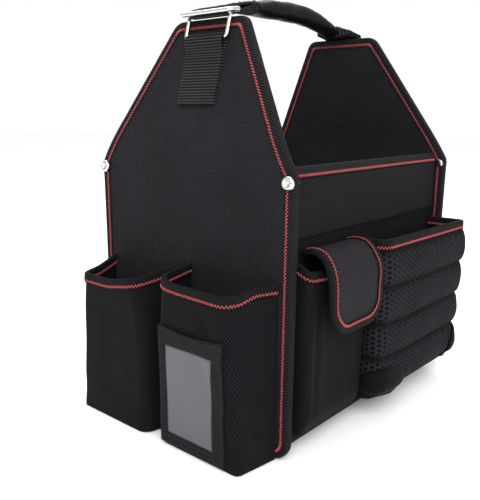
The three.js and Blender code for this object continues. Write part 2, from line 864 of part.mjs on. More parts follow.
// Tab of webbing sewn to an end panel: up the panel, round the link ring's lower bar and down again.
const tabTurn = linkWire + 2 * gap + webbingThick / 2; // radius of the webbing's middle round the bar
const tabBar = gap + webbingThick / 2 + tabTurn; // the bar's middle off the panel's cloth
const leanSlope = panelLean / (1 - leanBlend / 2) / (panelHeight - shoulderHeight);
const leanAngle = Math.atan(leanSlope);

// How the rings lie at each end. At the near end the handle's loop stands over the panel's top, and at the
// far end it hangs down outside it, from a tab sewn lower. Angles are below the horizontal, going outward.
const ends = [
  {
    label: "near",
    side: -1,
    line: strapLine,
    tabDrop: 0,
    linkAngle: leanAngle,
    loopAngle: leanAngle,
    strapAngle: 0.15,
  },
  {
    label: "far",
    side: 1,
    line: strapLine + strapShift,
    tabDrop: farTabDrop,
    linkAngle: 0.09,
    loopAngle: 1.31,
    strapAngle: 1.13,
  },
];

function tab({ label, side, line, tabDrop }) {
  const back = tabBar - tabTurn;
  const front = back + webbingThick + gap;
  const bar = linkBar - tabDrop;
  const path = roundedPath(
    [
      { p: back, q: tabBottom - tabDrop },
      { p: back, q: bar + tabTurn, radius: tabTurn },
      { p: back + 2 * tabTurn, q: bar + tabTurn, radius: tabTurn },
      { p: back + 2 * tabTurn, q: bar - tabTurn, radius: tabTurn },
      { p: front, q: bar - 4 * tabTurn, radius: tabTurn },
      { p: front, q: tabBottom - tabDrop },
    ],
    4,
  );
  const place = (out, z, across) =>
    new THREE.Vector3(side * (coreOuter + out - leanAt(z)), line + across, z);
  add("strap_tab_" + label, strip(path, webbingThick, webbingWidth, place), "webbing");
}

// The middles of the link ring's upper bar and of the strap ring's inner bar, measured outward and up.
const linkWide = webbingWidth + 2 * gap + 2 * linkWire;
const strapWide = strapInner + 2 * strapWire;
const barApart = linkWire + strapWire + strapBarGap / 2;

function barsOf({ tabDrop, linkAngle, loopAngle }) {
  const low = linkBar - tabDrop;
  const link = {
    x: coreOuter + tabBar - leanAt(low) - linkHeight * Math.sin(linkAngle),
    z: low + linkHeight * Math.cos(linkAngle),
  };
  const strap = { x: link.x - barApart * Math.cos(loopAngle), z: link.z + barApart * Math.sin(loopAngle) };
  return { link, strap };
}

// The link ring stands on its bar in the tab, and the strap ring lies outside it.
function ringPair(end) {
  const bars = barsOf(end);
  const ringPlace = (bar, angle, height) => (across, up, out) =>
    new THREE.Vector3(
      end.side * (bar.x + (height - up) * Math.cos(angle) + out * Math.sin(angle)),
      end.line + across,
      bar.z - (height - up) * Math.sin(angle) + out * Math.cos(angle),
    );
  const link = ringPlace(bars.link, Math.PI / 2 - end.linkAngle, linkHeight);
  add("link_ring_" + end.label, wireRing(linkWide, linkHeight, linkWire, link), "nickel");
  const strap = ringPlace(bars.strap, end.strapAngle, strapDepth);
  add("strap_ring_" + end.label, wireRing(strapWide, strapDepth, strapWire, strap), "nickel");
}

// The height of the grip's middle line, highest half way along.
function gripMiddle(x) {
  const share = (2 * x - gripFrom - gripTo) / (gripTo - gripFrom);
  const sag = share < 0 ? gripSag : gripSagFar;
  return handleTop - gripTall / 2 - sag * share * share;
}

// A ring of points across X round a middle: width along Y, height along Z, rounded by the power.
function ovalAt(x, y, z, wide, tall, power) {
  const around = 12;
  const bulged = (value) => Math.sign(value) * Math.abs(value) ** power;
  return Array.from({ length: around }, (_, k) => {
    const angle = (2 * Math.PI * (k + 0.5)) / around;
    return new THREE.Vector3(
      x,
      y + (wide / 2) * bulged(Math.cos(angle)),
      z + (tall / 2) * bulged(Math.sin(angle)),
    );
  });
}

// Webbing from the rings to the grip: round both bars and back, then the two layers fold together.
const folds = [
  { along: -0.12, wide: 1, tall: 0, power: 0.35 },
  { along: 0.25, wide: 0.85, tall: 0.25, power: 0.45 },
  { along: 0.6, wide: 0.4, tall: 0.75, power: 0.6 },
  { along: 1, wide: 0, tall: 1, power: 0.8 },
];

const ringClear = 0.6; // share of the turn that the layers run on past the strap ring's bar

function handleWebbing(end, mouth, flare) {
  const bars = barsOf(end);
  const turn = strapWire + gap + webbingThick / 2;
  const out = end.side * mouth + flare + gap; // where the fold begins, measured outward
  const z = gripMiddle(mouth) - gripSag / 4;
  const layer = (webbingThick + gap) / 2;
  const run = { p: Math.cos(end.loopAngle), q: -Math.sin(end.loopAngle) };
  const from = (bar, ahead, up) => ({
    p: bar.x + run.p * ahead - run.q * up,
    q: bar.z + run.q * ahead + run.p * up,
    radius: turn,
  });
  // Where the layers clear the panel's top edge before they turn down.
  const overTop = panelHeight + 2 * gap + webbingThick + layer / 2;
  const ahead = (bars.strap.z - overTop) / -run.q;
  const overEdge = (way) =>
    bars.strap.z < panelHeight
      ? [
          {
            p: bars.strap.x - run.p * Math.abs(ahead) + way * layer * Math.tan(end.loopAngle / 2),
            q: overTop + way * layer,
            radius: turn,
          },
        ]
      : [];
  const path = roundedPath(
    [
      { p: out, q: z + layer },
      ...overEdge(1),
      from(bars.strap, -turn * ringClear, turn),
      from(bars.link, turn, turn),
      from(bars.link, turn, -turn),
      from(bars.strap, -turn * ringClear, -turn),
      ...overEdge(-1),
      { p: out, q: z - layer },
    ],
    4,
  );
  const place = (outward, height, across) =>
    new THREE.Vector3(end.side * outward, end.line + across, height);
  const loop = strip(path, webbingThick, webbingWidth, place);
  const fold = folds.map(({ along, wide, tall, power }) =>
    ovalAt(
      end.side * (out - gap - flare * along),
      end.line,
      THREE.MathUtils.lerp(z, gripMiddle(mouth), Math.max(along, 0)),
      THREE.MathUtils.lerp(gripEndWide, webbingWidth - gap, wide),
      THREE.MathUtils.lerp(2 * webbingThick, gripEndTall - 1, tall),
      power,
    ),
  );
  add("handle_webbing_" + end.label, join(loop, skin(fold)), "webbing");
}

// The grip sleeve, oval at its mouths and nearly round between them.
function grip() {
  const sections = [
    { along: 0, share: 0 },
    { along: 0.08, share: 0.35 },
    { along: 0.2, share: 0.8 },
    { along: 0.35, share: 1 },
    { along: 0.5, share: 1 },
    { along: 0.65, share: 1 },
    { along: 0.8, share: 0.8 },
    { along: 0.92, share: 0.35 },
    { along: 1, share: 0 },
  ];
  const rings = sections.map(({ along, share }) => {
    const x = THREE.MathUtils.lerp(gripFrom, gripTo, along);
    const wide = THREE.MathUtils.lerp(gripEndWide, gripWide, share);
    const tall = THREE.MathUtils.lerp(gripEndTall, gripTall, share);
    return ovalAt(x, strapLine + strapShift * along, gripMiddle(x), wide, tall, 0.95);
  });
  add("grip_sleeve", skin(rings), "grip");
}

for (const end of ends) {
  endPanel(end.label, end.side);
  endPouches(end.label, end.side);
  tab(end);
  ringPair(end);
}
for (const [label, side] of Object.entries({ front: -1, back: 1 })) {
  sideWallWith(label, side);
}
base();
wovenBand();
cardSleeve();
flapPocket();
flap();
ribbedPocket();
backPocket();
handleWebbing(ends[0], gripFrom, flareNear);
handleWebbing(ends[1], gripTo, flareFar);
grip();

export default tote;
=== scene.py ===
# Open top tool tote: cloth, edge tape, red stitching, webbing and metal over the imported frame.
import math
import bmesh
import bpy
import mathutils
import numpy as np
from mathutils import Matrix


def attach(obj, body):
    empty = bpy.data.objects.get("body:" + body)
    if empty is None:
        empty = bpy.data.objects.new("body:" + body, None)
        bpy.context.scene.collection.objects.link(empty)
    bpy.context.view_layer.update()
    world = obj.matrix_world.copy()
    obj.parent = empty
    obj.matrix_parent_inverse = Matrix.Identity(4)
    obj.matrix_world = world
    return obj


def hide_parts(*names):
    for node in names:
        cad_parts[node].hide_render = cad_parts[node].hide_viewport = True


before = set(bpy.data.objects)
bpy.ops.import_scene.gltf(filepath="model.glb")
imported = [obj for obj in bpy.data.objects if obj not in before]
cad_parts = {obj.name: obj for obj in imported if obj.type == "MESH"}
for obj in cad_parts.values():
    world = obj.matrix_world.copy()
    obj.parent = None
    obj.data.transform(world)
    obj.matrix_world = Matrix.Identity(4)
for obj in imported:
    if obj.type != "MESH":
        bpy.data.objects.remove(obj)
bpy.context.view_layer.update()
print("frame loaded:", len(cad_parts), "nodes")

# The camera stands where the photograph was taken from.
cameraLook = {
    "azimuth": -49.16, "elevation": 12.40, "roll": 0.35, "distance": 0.61747,
    "target": (-0.02539, 0.03045, 0.13165), "lens": 45.65,
}
lightLook = {
    "key": {"place": (-1.5, -1.3, 1.75), "size": 1.5, "power": 52, "colour": (1.0, 0.99, 0.97)},
    "fill": {"place": (-0.2, -2.3, 0.8), "size": 2.0, "power": 18, "colour": (0.96, 0.98, 1.0)},
    "top": {"place": (0.5, 0.7, 1.9), "size": 1.6, "power": 42, "colour": (1.0, 1.0, 1.0)},
    "world": 1.0,
    "floorColour": (0.96, 0.96, 0.96),
}
# Sizes are in millimetres, and mm turns them into metres. These are shared by several pieces.
mm = 0.001
cloth = {"gap": 0.3, "tapeWall": 1.0, "tapeWidth": 8.5, "tapeProud": 1.3}
redStitch = {"step": 1.25, "half": 1.15, "inset": 2.0, "thread": 0.28}


# Lines and grids.
def unit(v):  # each vector over its own length
    return v / np.maximum(np.linalg.norm(v, axis=-1, keepdims=True), 1e-12)


def joined(*columns):  # the given coordinates side by side, as the last axis
    return np.stack(np.broadcast_arrays(*columns), axis=-1)


def smooth(x, low, high):  # 0 below low, 1 above high, and 3t^2 - 2t^3 between
    t = np.clip((x - low) / (high - low), 0, 1)
    return t * t * (3 - 2 * t)


def midway(u):  # 0 at both ends and 1 in the middle: sin(pi u)^0.5
    return np.sin(math.pi * np.clip(u, 0, 1)) ** 0.5


def roundPath(corners, radii, bend=8):
    # straight runs joined by arcs: centre - left*r*cos(a) + forward*r*sin(a), with a from 0 to the turn
    corners = np.asarray(corners, float)
    runs = unit(np.diff(corners, axis=0))
    parts = [corners[:1]]
    for k, radius in enumerate(radii, 1):
        before, after = runs[k - 1], runs[k]
        turn = math.atan2(before[0] * after[1] - before[1] * after[0], before @ after)
        start = corners[k] - before * radius * math.tan(abs(turn) / 2)
        left = np.array([-before[1], before[0]]) * np.sign(turn)
        angle = np.linspace(0, abs(turn), bend + 1)[:, None]
        parts.append(start + left * radius * (1 - np.cos(angle)) + before * radius * np.sin(angle))
    parts.append(corners[-1:])
    return np.concatenate(parts)


def evenly(line, count, closed=False):
    # each coordinate read against the length run so far, at even lengths
    whole = np.vstack([line, line[:1]]) if closed else np.asarray(line, float)
    run = np.concatenate([[0], np.cumsum(np.linalg.norm(np.diff(whole, axis=0), axis=1))])
    at = np.linspace(0, run[-1], count, endpoint=not closed)
    return np.stack([np.interp(at, run, column) for column in whole.T], axis=1), run[-1]


def leftNormals(line, closed=False):  # the direction of travel turned a quarter to the left
    along = np.roll(line, -1, 0) - np.roll(line, 1, 0) if closed else np.gradient(line, axis=0)
    along = unit(along)
    return joined(-along[:, 1], along[:, 0])


def cloudy(points, size, seed):
    # sum of 14 sines over randomly turned wave vectors of about that wavelength, near -1 to 1
    maker = np.random.default_rng(seed)
    waves = unit(maker.normal(size=(14, 3))) * (2 * math.pi / size) * maker.uniform(0.6, 1.5, (14, 1))
    return np.sin(points @ waves.T + maker.uniform(0, 6.28, 14)).sum(axis=-1) / 4.2


def crease(points, a, b, width, depth):
    # a valley -depth*exp(-(d/w)^2) along the segment a-b with a soft ridge beside it, fading at its ends
    a, b = np.asarray(a, float), np.asarray(b, float)
    t = np.clip(((points - a) @ (b - a)) / ((b - a) @ (b - a)), 0, 1)
    d = np.linalg.norm(points - (a + t[..., None] * (b - a)), axis=-1)
    fade = np.sin(math.pi * np.clip(t, 0.04, 0.96)) ** 0.5
    return fade * depth * (0.7 * np.exp(-(((d - 1.9 * width) / width) ** 2)) - np.exp(-((d / width) ** 2)))


def gridQuads(rows, columns, wrapRows=False, wrapColumns=False):
    # the four corners of each cell of a grid whose points are numbered row by row
    r = np.arange(rows if wrapRows else rows - 1)[:, None]
    c = np.arange(columns if wrapColumns else columns - 1)[None, :]
    r2, c2 = (r + 1) % rows, (c + 1) % columns
    return joined(r * columns + c, r * columns + c2, r2 * columns + c2, r2 * columns + c).reshape(-1, 4)


def shell(outer, inner, uv):
    # two matching grids closed round their borders: outer, inner turned over, and a strip along each side
    rows, columns = outer.shape[:2]
    quads = gridQuads(rows, columns)
    count = rows * columns
    index = np.arange(count).reshape(rows, columns)
    edge = np.concatenate([index[0, :-1], index[:-1, -1], index[-1, :0:-1], index[:0:-1, 0]])
    after = np.roll(edge, -1)
    strip = np.stack([after, edge, edge + count, after + count], axis=1)
    points = np.concatenate([outer.reshape(-1, 3), inner.reshape(-1, 3)])
    flat = np.concatenate([uv.reshape(-1, 2)] * 2)
    return points, np.concatenate([quads, quads[:, ::-1] + count, strip]), flat


def tube(rings, uv, closed):
    # rings of points carried along a path, closed round each ring, with the ends capped by quads across
    rows, columns = rings.shape[:2]
    quads = gridQuads(rows, columns, wrapRows=closed, wrapColumns=True)
    if not closed:
        k = np.arange(columns // 2 - 1)
        cap = np.stack([k, k + 1, columns - 2 - k, columns - 1 - k], axis=1)
        quads = np.concatenate([quads, cap[:, ::-1], cap + (rows - 1) * columns])
    return rings.reshape(-1, 3), quads, uv.reshape(-1, 2)


def together(parts):
    # several meshes as one: the quads of each count on from the points before it
    starts = np.cumsum([0] + [len(part[0]) for part in parts[:-1]])
    return (
        np.concatenate([part[0] for part in parts]),
        np.concatenate([part[1] + start for part, start in zip(parts, starts)]),
        np.concatenate([part[2] for part in parts]),
    )


def putPiece(name, parts, look, nodes=(), merge=True):
    # points come in millimetres and go into the mesh in metres; the flat map stays in millimetres
    points, faces, flat = together(parts) if isinstance(parts, list) else parts
    mesh = bpy.data.meshes.new(name)
    mesh.from_pydata((points * mm).tolist(), [], faces if isinstance(faces, list) else faces.tolist())
    corner = np.empty(len(mesh.loops), int)
    mesh.loops.foreach_get("vertex_index", corner)
    for label, columns in (("clothMap", flat[:, :2]), ("seamMap", flat[:, 2:])):
        if columns.shape[1]:
            mesh.uv_layers.new(name=label).data.foreach_set("uv", columns[corner].astype(np.float32).ravel())
    work = bmesh.new()
    work.from_mesh(mesh)
    if merge:
        bmesh.ops.remove_doubles(work, verts=work.verts, dist=0.002 * mm)
    bmesh.ops.recalc_face_normals(work, faces=work.faces)
    work.to_mesh(mesh)
    work.free()
    mesh.shade_smooth()
    mesh.materials.append(looks[look])
    piece = bpy.data.objects.new(name, mesh)
    bpy.context.scene.collection.objects.link(piece)
    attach(piece, "root")
    if nodes:
        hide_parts(*nodes)
    return piece


# Stitching.
def threadLegs(a, b, normal, radius):
    # each stitch is a five-sided thread in rings at t 0, 1/2 and 1: centre a + (b - a)t, lifted by r sin(pi
    # t)
    t = np.array([0, 0.5, 1.0])[None, :, None]
    lift = radius * (1.3 * np.sin(math.pi * t) - 0.35)
    centre = a[:, None] + (b - a)[:, None] * t + normal[:, None] * lift
    across = unit(np.cross(b - a, normal))
    angle = np.arange(5) * 2 * math.pi / 5
    spokes = np.cos(angle)[:, None] * normal[:, None] + np.sin(angle)[:, None] * across[:, None]
    return centre[:, :, None] + radius * spokes[:, None]


def putThreads(name, runs, radius, look):
    # all the stitches of one piece in one mesh; runs holds (points, normals) of each line of stitches
    a = np.concatenate([p[:-1] for p, n in runs])
    b = np.concatenate([p[1:] for p, n in runs])
    normal = np.concatenate([unit(n[:-1] + n[1:]) for p, n in runs])
    points = threadLegs(a, b, normal, radius).reshape(-1, 3)
    starts = np.arange(len(a))[:, None, None] * 15
    sides = np.concatenate([gridQuads(3, 5, wrapColumns=True), [[3, 2, 1, 0], [10, 11, 12, 13]]])
    tips = np.array([[4, 3, 0], [10, 13, 14]])
    faces = (sides + starts).reshape(-1, 4).tolist() + (tips + starts).reshape(-1, 3).tolist()
    putPiece(name, (points, faces, np.empty((len(points), 0))), look, merge=False)


def dashes(here, normal):  # a stitch on every other stretch of the line
    return [(here[k:k + 2], normal[k:k + 2]) for k in range(0, len(here) - 1, 2)]


def spotNormals(spot, s, depth, off):
    # the place and the direction from it to the place half a millimetre further off
    here = spot(s, depth, off)
    return here, unit(spot(s, depth, off + np.sign(off) * 0.5) - here)


def zigzag(spot, start, stop, depth, off, seed=1):
    # needle holes at even lengths, alternately half a width to either side of the seam line
    count = int((stop - start) / redStitch["step"])
    s = np.linspace(start, stop, count)
    shake = np.random.default_rng(seed).normal(0, 0.07, (2, count))
    side = np.where(np.arange(count) % 2, 1.0, -1.0) * redStitch["half"]
    return spotNormals(spot, s + shake[0], depth + side + shake[1], off)


def bindEdge(name, spot, length, thick, look, nodes, closed=False, faces=(1, -1), seed=3):
    # tape section: a flattened arc r(1 - cos^0.6 f), out*sin^0.7 f over the edge, and two grooved legs
    width = cloth["tapeWidth"]
    inside = thick / 2 + cloth["gap"]
    out = inside + cloth["tapeWall"]
    top = min(out, 2.4)
    groove = width - redStitch["inset"]
    legDepth = np.array([
        top + 0.6, groove - 1.7, groove - 0.8, groove, groove + 0.8, groove + 1.45, width - 0.1, width,
    ])
    legOut = out - np.array([0, -0.1, 0.16, 0.3, 0.16, -0.04, 0.1, 0.55])
    bend = np.linspace(-90, 90, 11) * math.pi / 180
    over = top * (1 - np.cos(bend) ** 0.6)
    depth = np.concatenate([legDepth[::-1], over, legDepth, [width, 1.0, 1.0, width]])
    turned = np.sign(bend) * np.abs(np.sin(bend)) ** 0.7
    across = np.concatenate([-legOut[::-1], out * turned, legOut, [inside, inside, -inside, -inside]])
    count = max(int(length / 1.6), 8)
    s = np.linspace(0, length, count, endpoint=not closed)
    turn = 2 * math.pi * np.round(length / np.array([23.0, 41.0, 67.0])) / length
    wander = (np.sin(s[:, None] * turn + seed) * [0.5, 0.3, 0.3]).sum(1)[:, None]
    d = depth[None] + 0.22 * wander * (depth[None] > groove - 2)
    x = across[None] * (1 + 0.035 * wander * (np.abs(across[None]) > inside + 0.3))
    rings = spot(np.broadcast_to(s[:, None], d.shape), d, x)
    around = np.concatenate([[0], np.cumsum(np.hypot(np.diff(depth), np.diff(across)))])
    flat = joined(s[:, None], around[None])
    putPiece(name, tube(rings, flat, closed), look, nodes)
    runs = [zigzag(spot, 0.6, length - 0.6, groove, face * (out - 0.12), seed + face) for face in faces]
    putThreads("red_stitch_" + name, runs, redStitch["thread"], "red")


# Materials.
def group(name, inputs, outputs):
    # an empty node group with these sockets, and the sockets as its own nodes see them
    tree = bpy.data.node_groups.new(name, "ShaderNodeTree")
    for label, kind, value in inputs:
        socket = tree.interface.new_socket(name=label, in_out="INPUT", socket_type=kind)
        if value is not None:
            socket.default_value = value
    for label, kind in outputs:
        tree.interface.new_socket(name=label, in_out="OUTPUT", socket_type=kind)
    return tree, tree.nodes.new("NodeGroupInput").outputs, tree.nodes.new("NodeGroupOutput").inputs


def weaveGroup(name, pitch, outputs=("Height",), more=()):
    # what every weave's group has: a flat map in millimetres and a pitch go in, and a height comes out
    inputs = [("Map", "NodeSocketVector", None), ("Pitch", "NodeSocketFloat", pitch), *more]
    return group(name, inputs, [(label, "NodeSocketFloat") for label in outputs])


def feed(tree, socket, value):  # a link from another socket, or a plain value
    if isinstance(value, bpy.types.NodeSocket):
        tree.links.new(value, socket)
    elif value is not None:
        socket.default_value = value


def maths(tree, operation, a, b=None, clamp=False):
    # a Math node on sockets or numbers, and its result
    node = tree.nodes.new("ShaderNodeMath")
    node.operation = operation
    node.use_clamp = clamp
    for socket, value in zip(node.inputs, (a, b)):
        feed(tree, socket, value)
    return node.outputs[0]


def times(tree, a, b, clamp=False):  # a b
    return maths(tree, "MULTIPLY", a, b, clamp)


def plus(tree, a, b, clamp=False):  # a + b
    return maths(tree, "ADD", a, b, clamp)


def alongWay(tree, vector, direction):  # the dot product with a direction
    node = tree.nodes.new("ShaderNodeVectorMath")
    node.operation = "DOT_PRODUCT"
    tree.links.new(vector, node.inputs[0])
    node.inputs[1].default_value = direction
    return node.outputs["Value"]


def waveOf(tree, vector, direction, pitch):  # sin(2 pi distance / pitch)
    turn = maths(tree, "DIVIDE", alongWay(tree, vector, direction), pitch)
    return maths(tree, "SINE", times(tree, turn, 2 * math.pi))


def mixed(tree, factor, a, b):  # a(1 - factor) + b factor, for colours
    node = tree.nodes.new("ShaderNodeMix")
    node.data_type = "RGBA"
    for socket, value in ((node.inputs[0], factor), (node.inputs[6], a), (node.inputs[7], b)):
        feed(tree, socket, value)
    return node.outputs[2]


def noiseOf(tree, vector, scale, detail=2.0):  # noise from 0 to 1, scale to the metre
    node = tree.nodes.new("ShaderNodeTexNoise")
    for label, value in (("Vector", vector), ("Scale", scale), ("Detail", detail)):
        feed(tree, node.inputs[label], value)
    return node.outputs["Fac"]


def useGroup(tree, key, **given):
    # a node that runs one of the groups, fed by name, and its results
    node = tree.nodes.new("ShaderNodeGroup")
    node.node_tree = groups[key]
    for label, value in given.items():
        feed(tree, node.inputs[label], value)
    return node.outputs


def twillGroup():
    # diagonal ribs 1+sin(x+y) cut into floats by a crossing wave
    tree, given, made = weaveGroup("twillWeave", 1.6)
    rib = waveOf(tree, given["Map"], (0.72, 0.69, 0), given["Pitch"])
    cross = waveOf(tree, given["Map"], (0.9, -0.43, 0), times(tree, given["Pitch"], 1.15))
    both = plus(tree, times(tree, rib, 0.3), times(tree, cross, 0.2))
    tree.links.new(plus(tree, both, 0.5, clamp=True), made["Height"])
    return tree


def plainGroup():
    # threads over and under: 1/2 + sin x sin y / 2
    tree, given, made = weaveGroup("plainWeave", 1.2)
    a = waveOf(tree, given["Map"], (1, 0, 0), given["Pitch"])
    b = waveOf(tree, given["Map"], (0, 1, 0), given["Pitch"])
    both = times(tree, times(tree, a, b), 0.5)
    tree.links.new(plus(tree, both, 0.5), made["Height"])
    return tree


def meshGroup():
    # three waves sixty degrees apart add up to round holes on a honeycomb
    tree, given, made = weaveGroup("openMesh", 3.0, ("Hole", "Height"))
    total = None
    for way in ((1, 0, 0), (0.5, 0.866, 0), (-0.5, 0.866, 0)):
        turn = maths(tree, "DIVIDE", alongWay(tree, given["Map"], way), given["Pitch"])
        wave = maths(tree, "COSINE", times(tree, turn, 2 * math.pi))
        total = wave if total is None else plus(tree, total, wave)
    hole = times(tree, plus(tree, total, 0.2), 1.1, clamp=True)
    tree.links.new(hole, made["Hole"])
    tree.links.new(maths(tree, "SUBTRACT", 1.0, hole), made["Height"])
    return tree


def ribGroup():
    # cords side by side across one direction, each broken up by the crossing thread
    tree, given, made = weaveGroup("wovenRibs", 2.2, more=[("Cross", "NodeSocketFloat", 1.1)])
    rib = waveOf(tree, given["Map"], (1, 0, 0), given["Pitch"])
    cross = waveOf(tree, given["Map"], (0, 1, 0), given["Cross"])
    both = plus(tree, times(tree, rib, 0.36), times(tree, cross, 0.12))
    tree.links.new(plus(tree, both, 0.5, clamp=True), made["Height"])
    return tree


def handledGroup():
    # uneven dye and a little lint: slow clouds, and rare pale flecks where a fine noise is high
    inputs = [
        ("Place", "NodeSocketVector", None), ("Colour", "NodeSocketColor", (0.02, 0.02, 0.02, 1)),
        ("Lint", "NodeSocketFloat", 0.3),
    ]
    outputs = [("Colour", "NodeSocketColor"), ("Fuzz", "NodeSocketFloat")]
    tree, given, made = group("handledCloth", inputs, outputs)
    slow = noiseOf(tree, given["Place"], 22.0, 3.0)
    fine = noiseOf(tree, given["Place"], 900.0, 2.0)
    darker = mixed(tree, times(tree, slow, 0.55), given["Colour"], (0.006, 0.006, 0.008, 1))
    fleck = times(tree, maths(tree, "SUBTRACT", fine, 0.62, clamp=True), 3.2, clamp=True)
    amount = times(tree, fleck, given["Lint"])
    tree.links.new(mixed(tree, amount, darker, (0.16, 0.16, 0.17, 1)), made["Colour"])
    tree.links.new(fine, made["Fuzz"])
    return tree


def seamShadeGroup():
    # painted shade: 1 in the grooves along the quilted seams, where the rib count n is whole, down to 0 beside
    # them: 1 - |sin(pi n)|/0.55
    tree, given, made = group(
        "seamShade", [("Ribs", "NodeSocketVector", None)], [("Seam", "NodeSocketFloat")],
    )
    count = alongWay(tree, given["Ribs"], (1, 0, 0))
    wave = maths(tree, "ABSOLUTE", maths(tree, "SINE", times(tree, count, math.pi)))
    tree.links.new(maths(tree, "SUBTRACT", 1.0, maths(tree, "DIVIDE", wave, 0.55), clamp=True), made["Seam"])
    return tree


groups = {
    "seam": seamShadeGroup(), "twill": twillGroup(), "plain": plainGroup(), "mesh": meshGroup(),
    "ribs": ribGroup(), "handled": handledGroup(),
}
clothLook = {
    "panel": {
        "colour": (0.047, 0.047, 0.056), "weave": "plain", "pitch": 2.2, "depth": 0.45, "show": 1.6,
        "lint": 1.0, "rough": 0.82,
    },
    "tape": {
        "colour": (0.032, 0.032, 0.035), "weave": "twill", "pitch": 1.8, "depth": 0.4, "show": 1.5,
        "lint": 0.4, "rough": 0.75,
    },
    "darkTape": {
        "colour": (0.013, 0.013, 0.014), "weave": "twill", "pitch": 1.7, "depth": 0.35, "show": 1.3,
        "lint": 0.4, "rough": 0.75,
    },
    "wall": {
        "colour": (0.0045, 0.0045, 0.0065), "weave": "plain", "pitch": 0.9, "depth": 0.1, "show": 0.2,
        "lint": 0.2, "rough": 0.7,
    },
    "band": {
        "colour": (0.041, 0.041, 0.050), "weave": "plain", "pitch": 3.0, "depth": 0.6, "show": 2.2,
        "lint": 0.4, "rough": 0.8,
    },
    "pouch": {
        "colour": (0.023, 0.023, 0.030), "weave": "twill", "pitch": 1.95, "depth": 0.45, "show": 2.4,
        "lint": 0.35, "rough": 0.75,
    },
    "flap": {
        "colour": (0.036, 0.035, 0.042), "weave": "twill", "pitch": 2.1, "depth": 0.35, "show": 1.2,
        "lint": 0.3, "rough": 0.72,
    },
    "mesh": {
        "colour": (0.014, 0.014, 0.018), "weave": "mesh", "pitch": 3.8, "depth": 1.2, "show": 1.3,
        # seams: the grooves along the quilted seams get painted shade
        "lint": 0.2, "rough": 0.8, "seams": True,
    },
    "foot": {
        "colour": (0.002, 0.002, 0.0025), "weave": "plain", "pitch": 0.8, "depth": 0.06, "show": 0.15,
        "lint": 0.1, "rough": 0.7,
    },
    "sleeve": {
        "colour": (0.015, 0.015, 0.017), "weave": "plain", "pitch": 1.4, "depth": 0.2, "show": 0.6,
        "lint": 0.5, "rough": 0.7,
    },
    "webbing": {
        "colour": (0.050, 0.050, 0.056), "weave": "ribs", "pitch": 2.2, "depth": 0.55, "show": 1.2,
        "lint": 0.35, "rough": 0.72,
    },
}


def bumped(tree, height, depth, shader):  # a relief of height times depth in millimetres
    bump = tree.nodes.new("ShaderNodeBump")
    for label, value in (("Strength", 1.0), ("Distance", depth * mm), ("Height", height)):
        feed(tree, bump.inputs[label], value)
    feed(tree, shader.inputs["Normal"], bump.outputs["Normal"])


def freshMaterial(name):  # a material with its tree, its Principled node and a Texture Coordinate node
    look = bpy.data.materials.new(name)
    look.use_nodes = True
    tree = look.node_tree
    return look, tree, tree.nodes["Principled BSDF"], tree.nodes.new("ShaderNodeTexCoord")


def clothMaterial(name, own):
    # the dyed colour, darkened where the weave is low by show*(1 - height), and the weave as relief
    look, tree, shader, where = freshMaterial(name)
    dyed = (*own["colour"], 1)
    handled = useGroup(tree, "handled", Place=where.outputs["Object"], Colour=dyed, Lint=own["lint"])
    weave = useGroup(tree, own["weave"], Map=where.outputs["UV"], Pitch=own["pitch"])
    low = times(tree, maths(tree, "SUBTRACT", 1.0, weave["Height"]), own["show"], clamp=True)
    # painted shade: along the quilted seams the colour is pulled towards near black, up to 0.95 of the way
    if own.get("seams"):
        ribs = tree.nodes.new("ShaderNodeUVMap")
        ribs.uv_map = "seamMap"
        seam = useGroup(tree, "seam", Ribs=ribs.outputs["UV"])
        low = maths(tree, "MAXIMUM", low, times(tree, seam["Seam"], 0.95))
    settings = {
        "Base Color": mixed(tree, low, handled["Colour"], (0.0025, 0.0025, 0.003, 1)),
        "Roughness": plus(tree, times(tree, handled["Fuzz"], 0.12), own["rough"] - 0.06),
        "Sheen Weight": 0.01, "Sheen Roughness": 0.45, "Specular IOR Level": 0.04,
    }
    for label, value in settings.items():
        feed(tree, shader.inputs[label], value)
    bumped(tree, plus(tree, weave["Height"], times(tree, handled["Fuzz"], 0.25)), own["depth"], shader)
    return look


def plainMaterial(
    name, colour, rough, metal=0.0, grain=500.0, depth=0.03, spread=0.35, dark=(0.01, 0.01, 0.01), shine=0.3,
):
    # one colour with slow clouds towards a darker tone, and grain in its gloss and relief
    look, tree, shader, where = freshMaterial(name)
    slow = noiseOf(tree, where.outputs["Object"], 35.0, 3.0)
    fine = noiseOf(tree, where.outputs["Object"], grain, 3.0)
    settings = {
        "Base Color": mixed(tree, times(tree, slow, spread), (*colour, 1), (*dark, 1)),
        "Roughness": plus(tree, times(tree, fine, 0.2), rough - 0.1),
        "Metallic": metal, "Specular IOR Level": shine,
    }
    for label, value in settings.items():
        feed(tree, shader.inputs[label], value)
    bumped(tree, fine, depth, shader)
    return look


looks = {key: clothMaterial(key + "Cloth", own) for key, own in clothLook.items()}
looks["red"] = plainMaterial(
    "redThread", (0.42, 0.066, 0.072), 0.6, grain=2600.0, depth=0.12, spread=0.3, dark=(0.2, 0.014, 0.017),
)
looks["black"] = plainMaterial("blackThread", (0.016, 0.016, 0.018), 0.6, grain=2600.0, depth=0.12)
looks["nickel"] = plainMaterial(
    "brightNickel", (0.62, 0.61, 0.58), 0.17, metal=1.0, grain=240.0, depth=0.02, spread=0.5,
    dark=(0.34, 0.33, 0.30),
)
looks["vinyl"] = plainMaterial(
    "greyVinyl", (0.07, 0.07, 0.079), 0.4, grain=160.0, depth=0.15, spread=0.12, dark=(0.055, 0.055, 0.062),
)
looks["grip"] = plainMaterial(
    "gripSleeve", (0.003, 0.003, 0.0035), 0.4, grain=900.0, depth=0.05, spread=0.4,
    dark=(0.002, 0.002, 0.002), shine=0.06,
)
print("materials made:", len(looks))


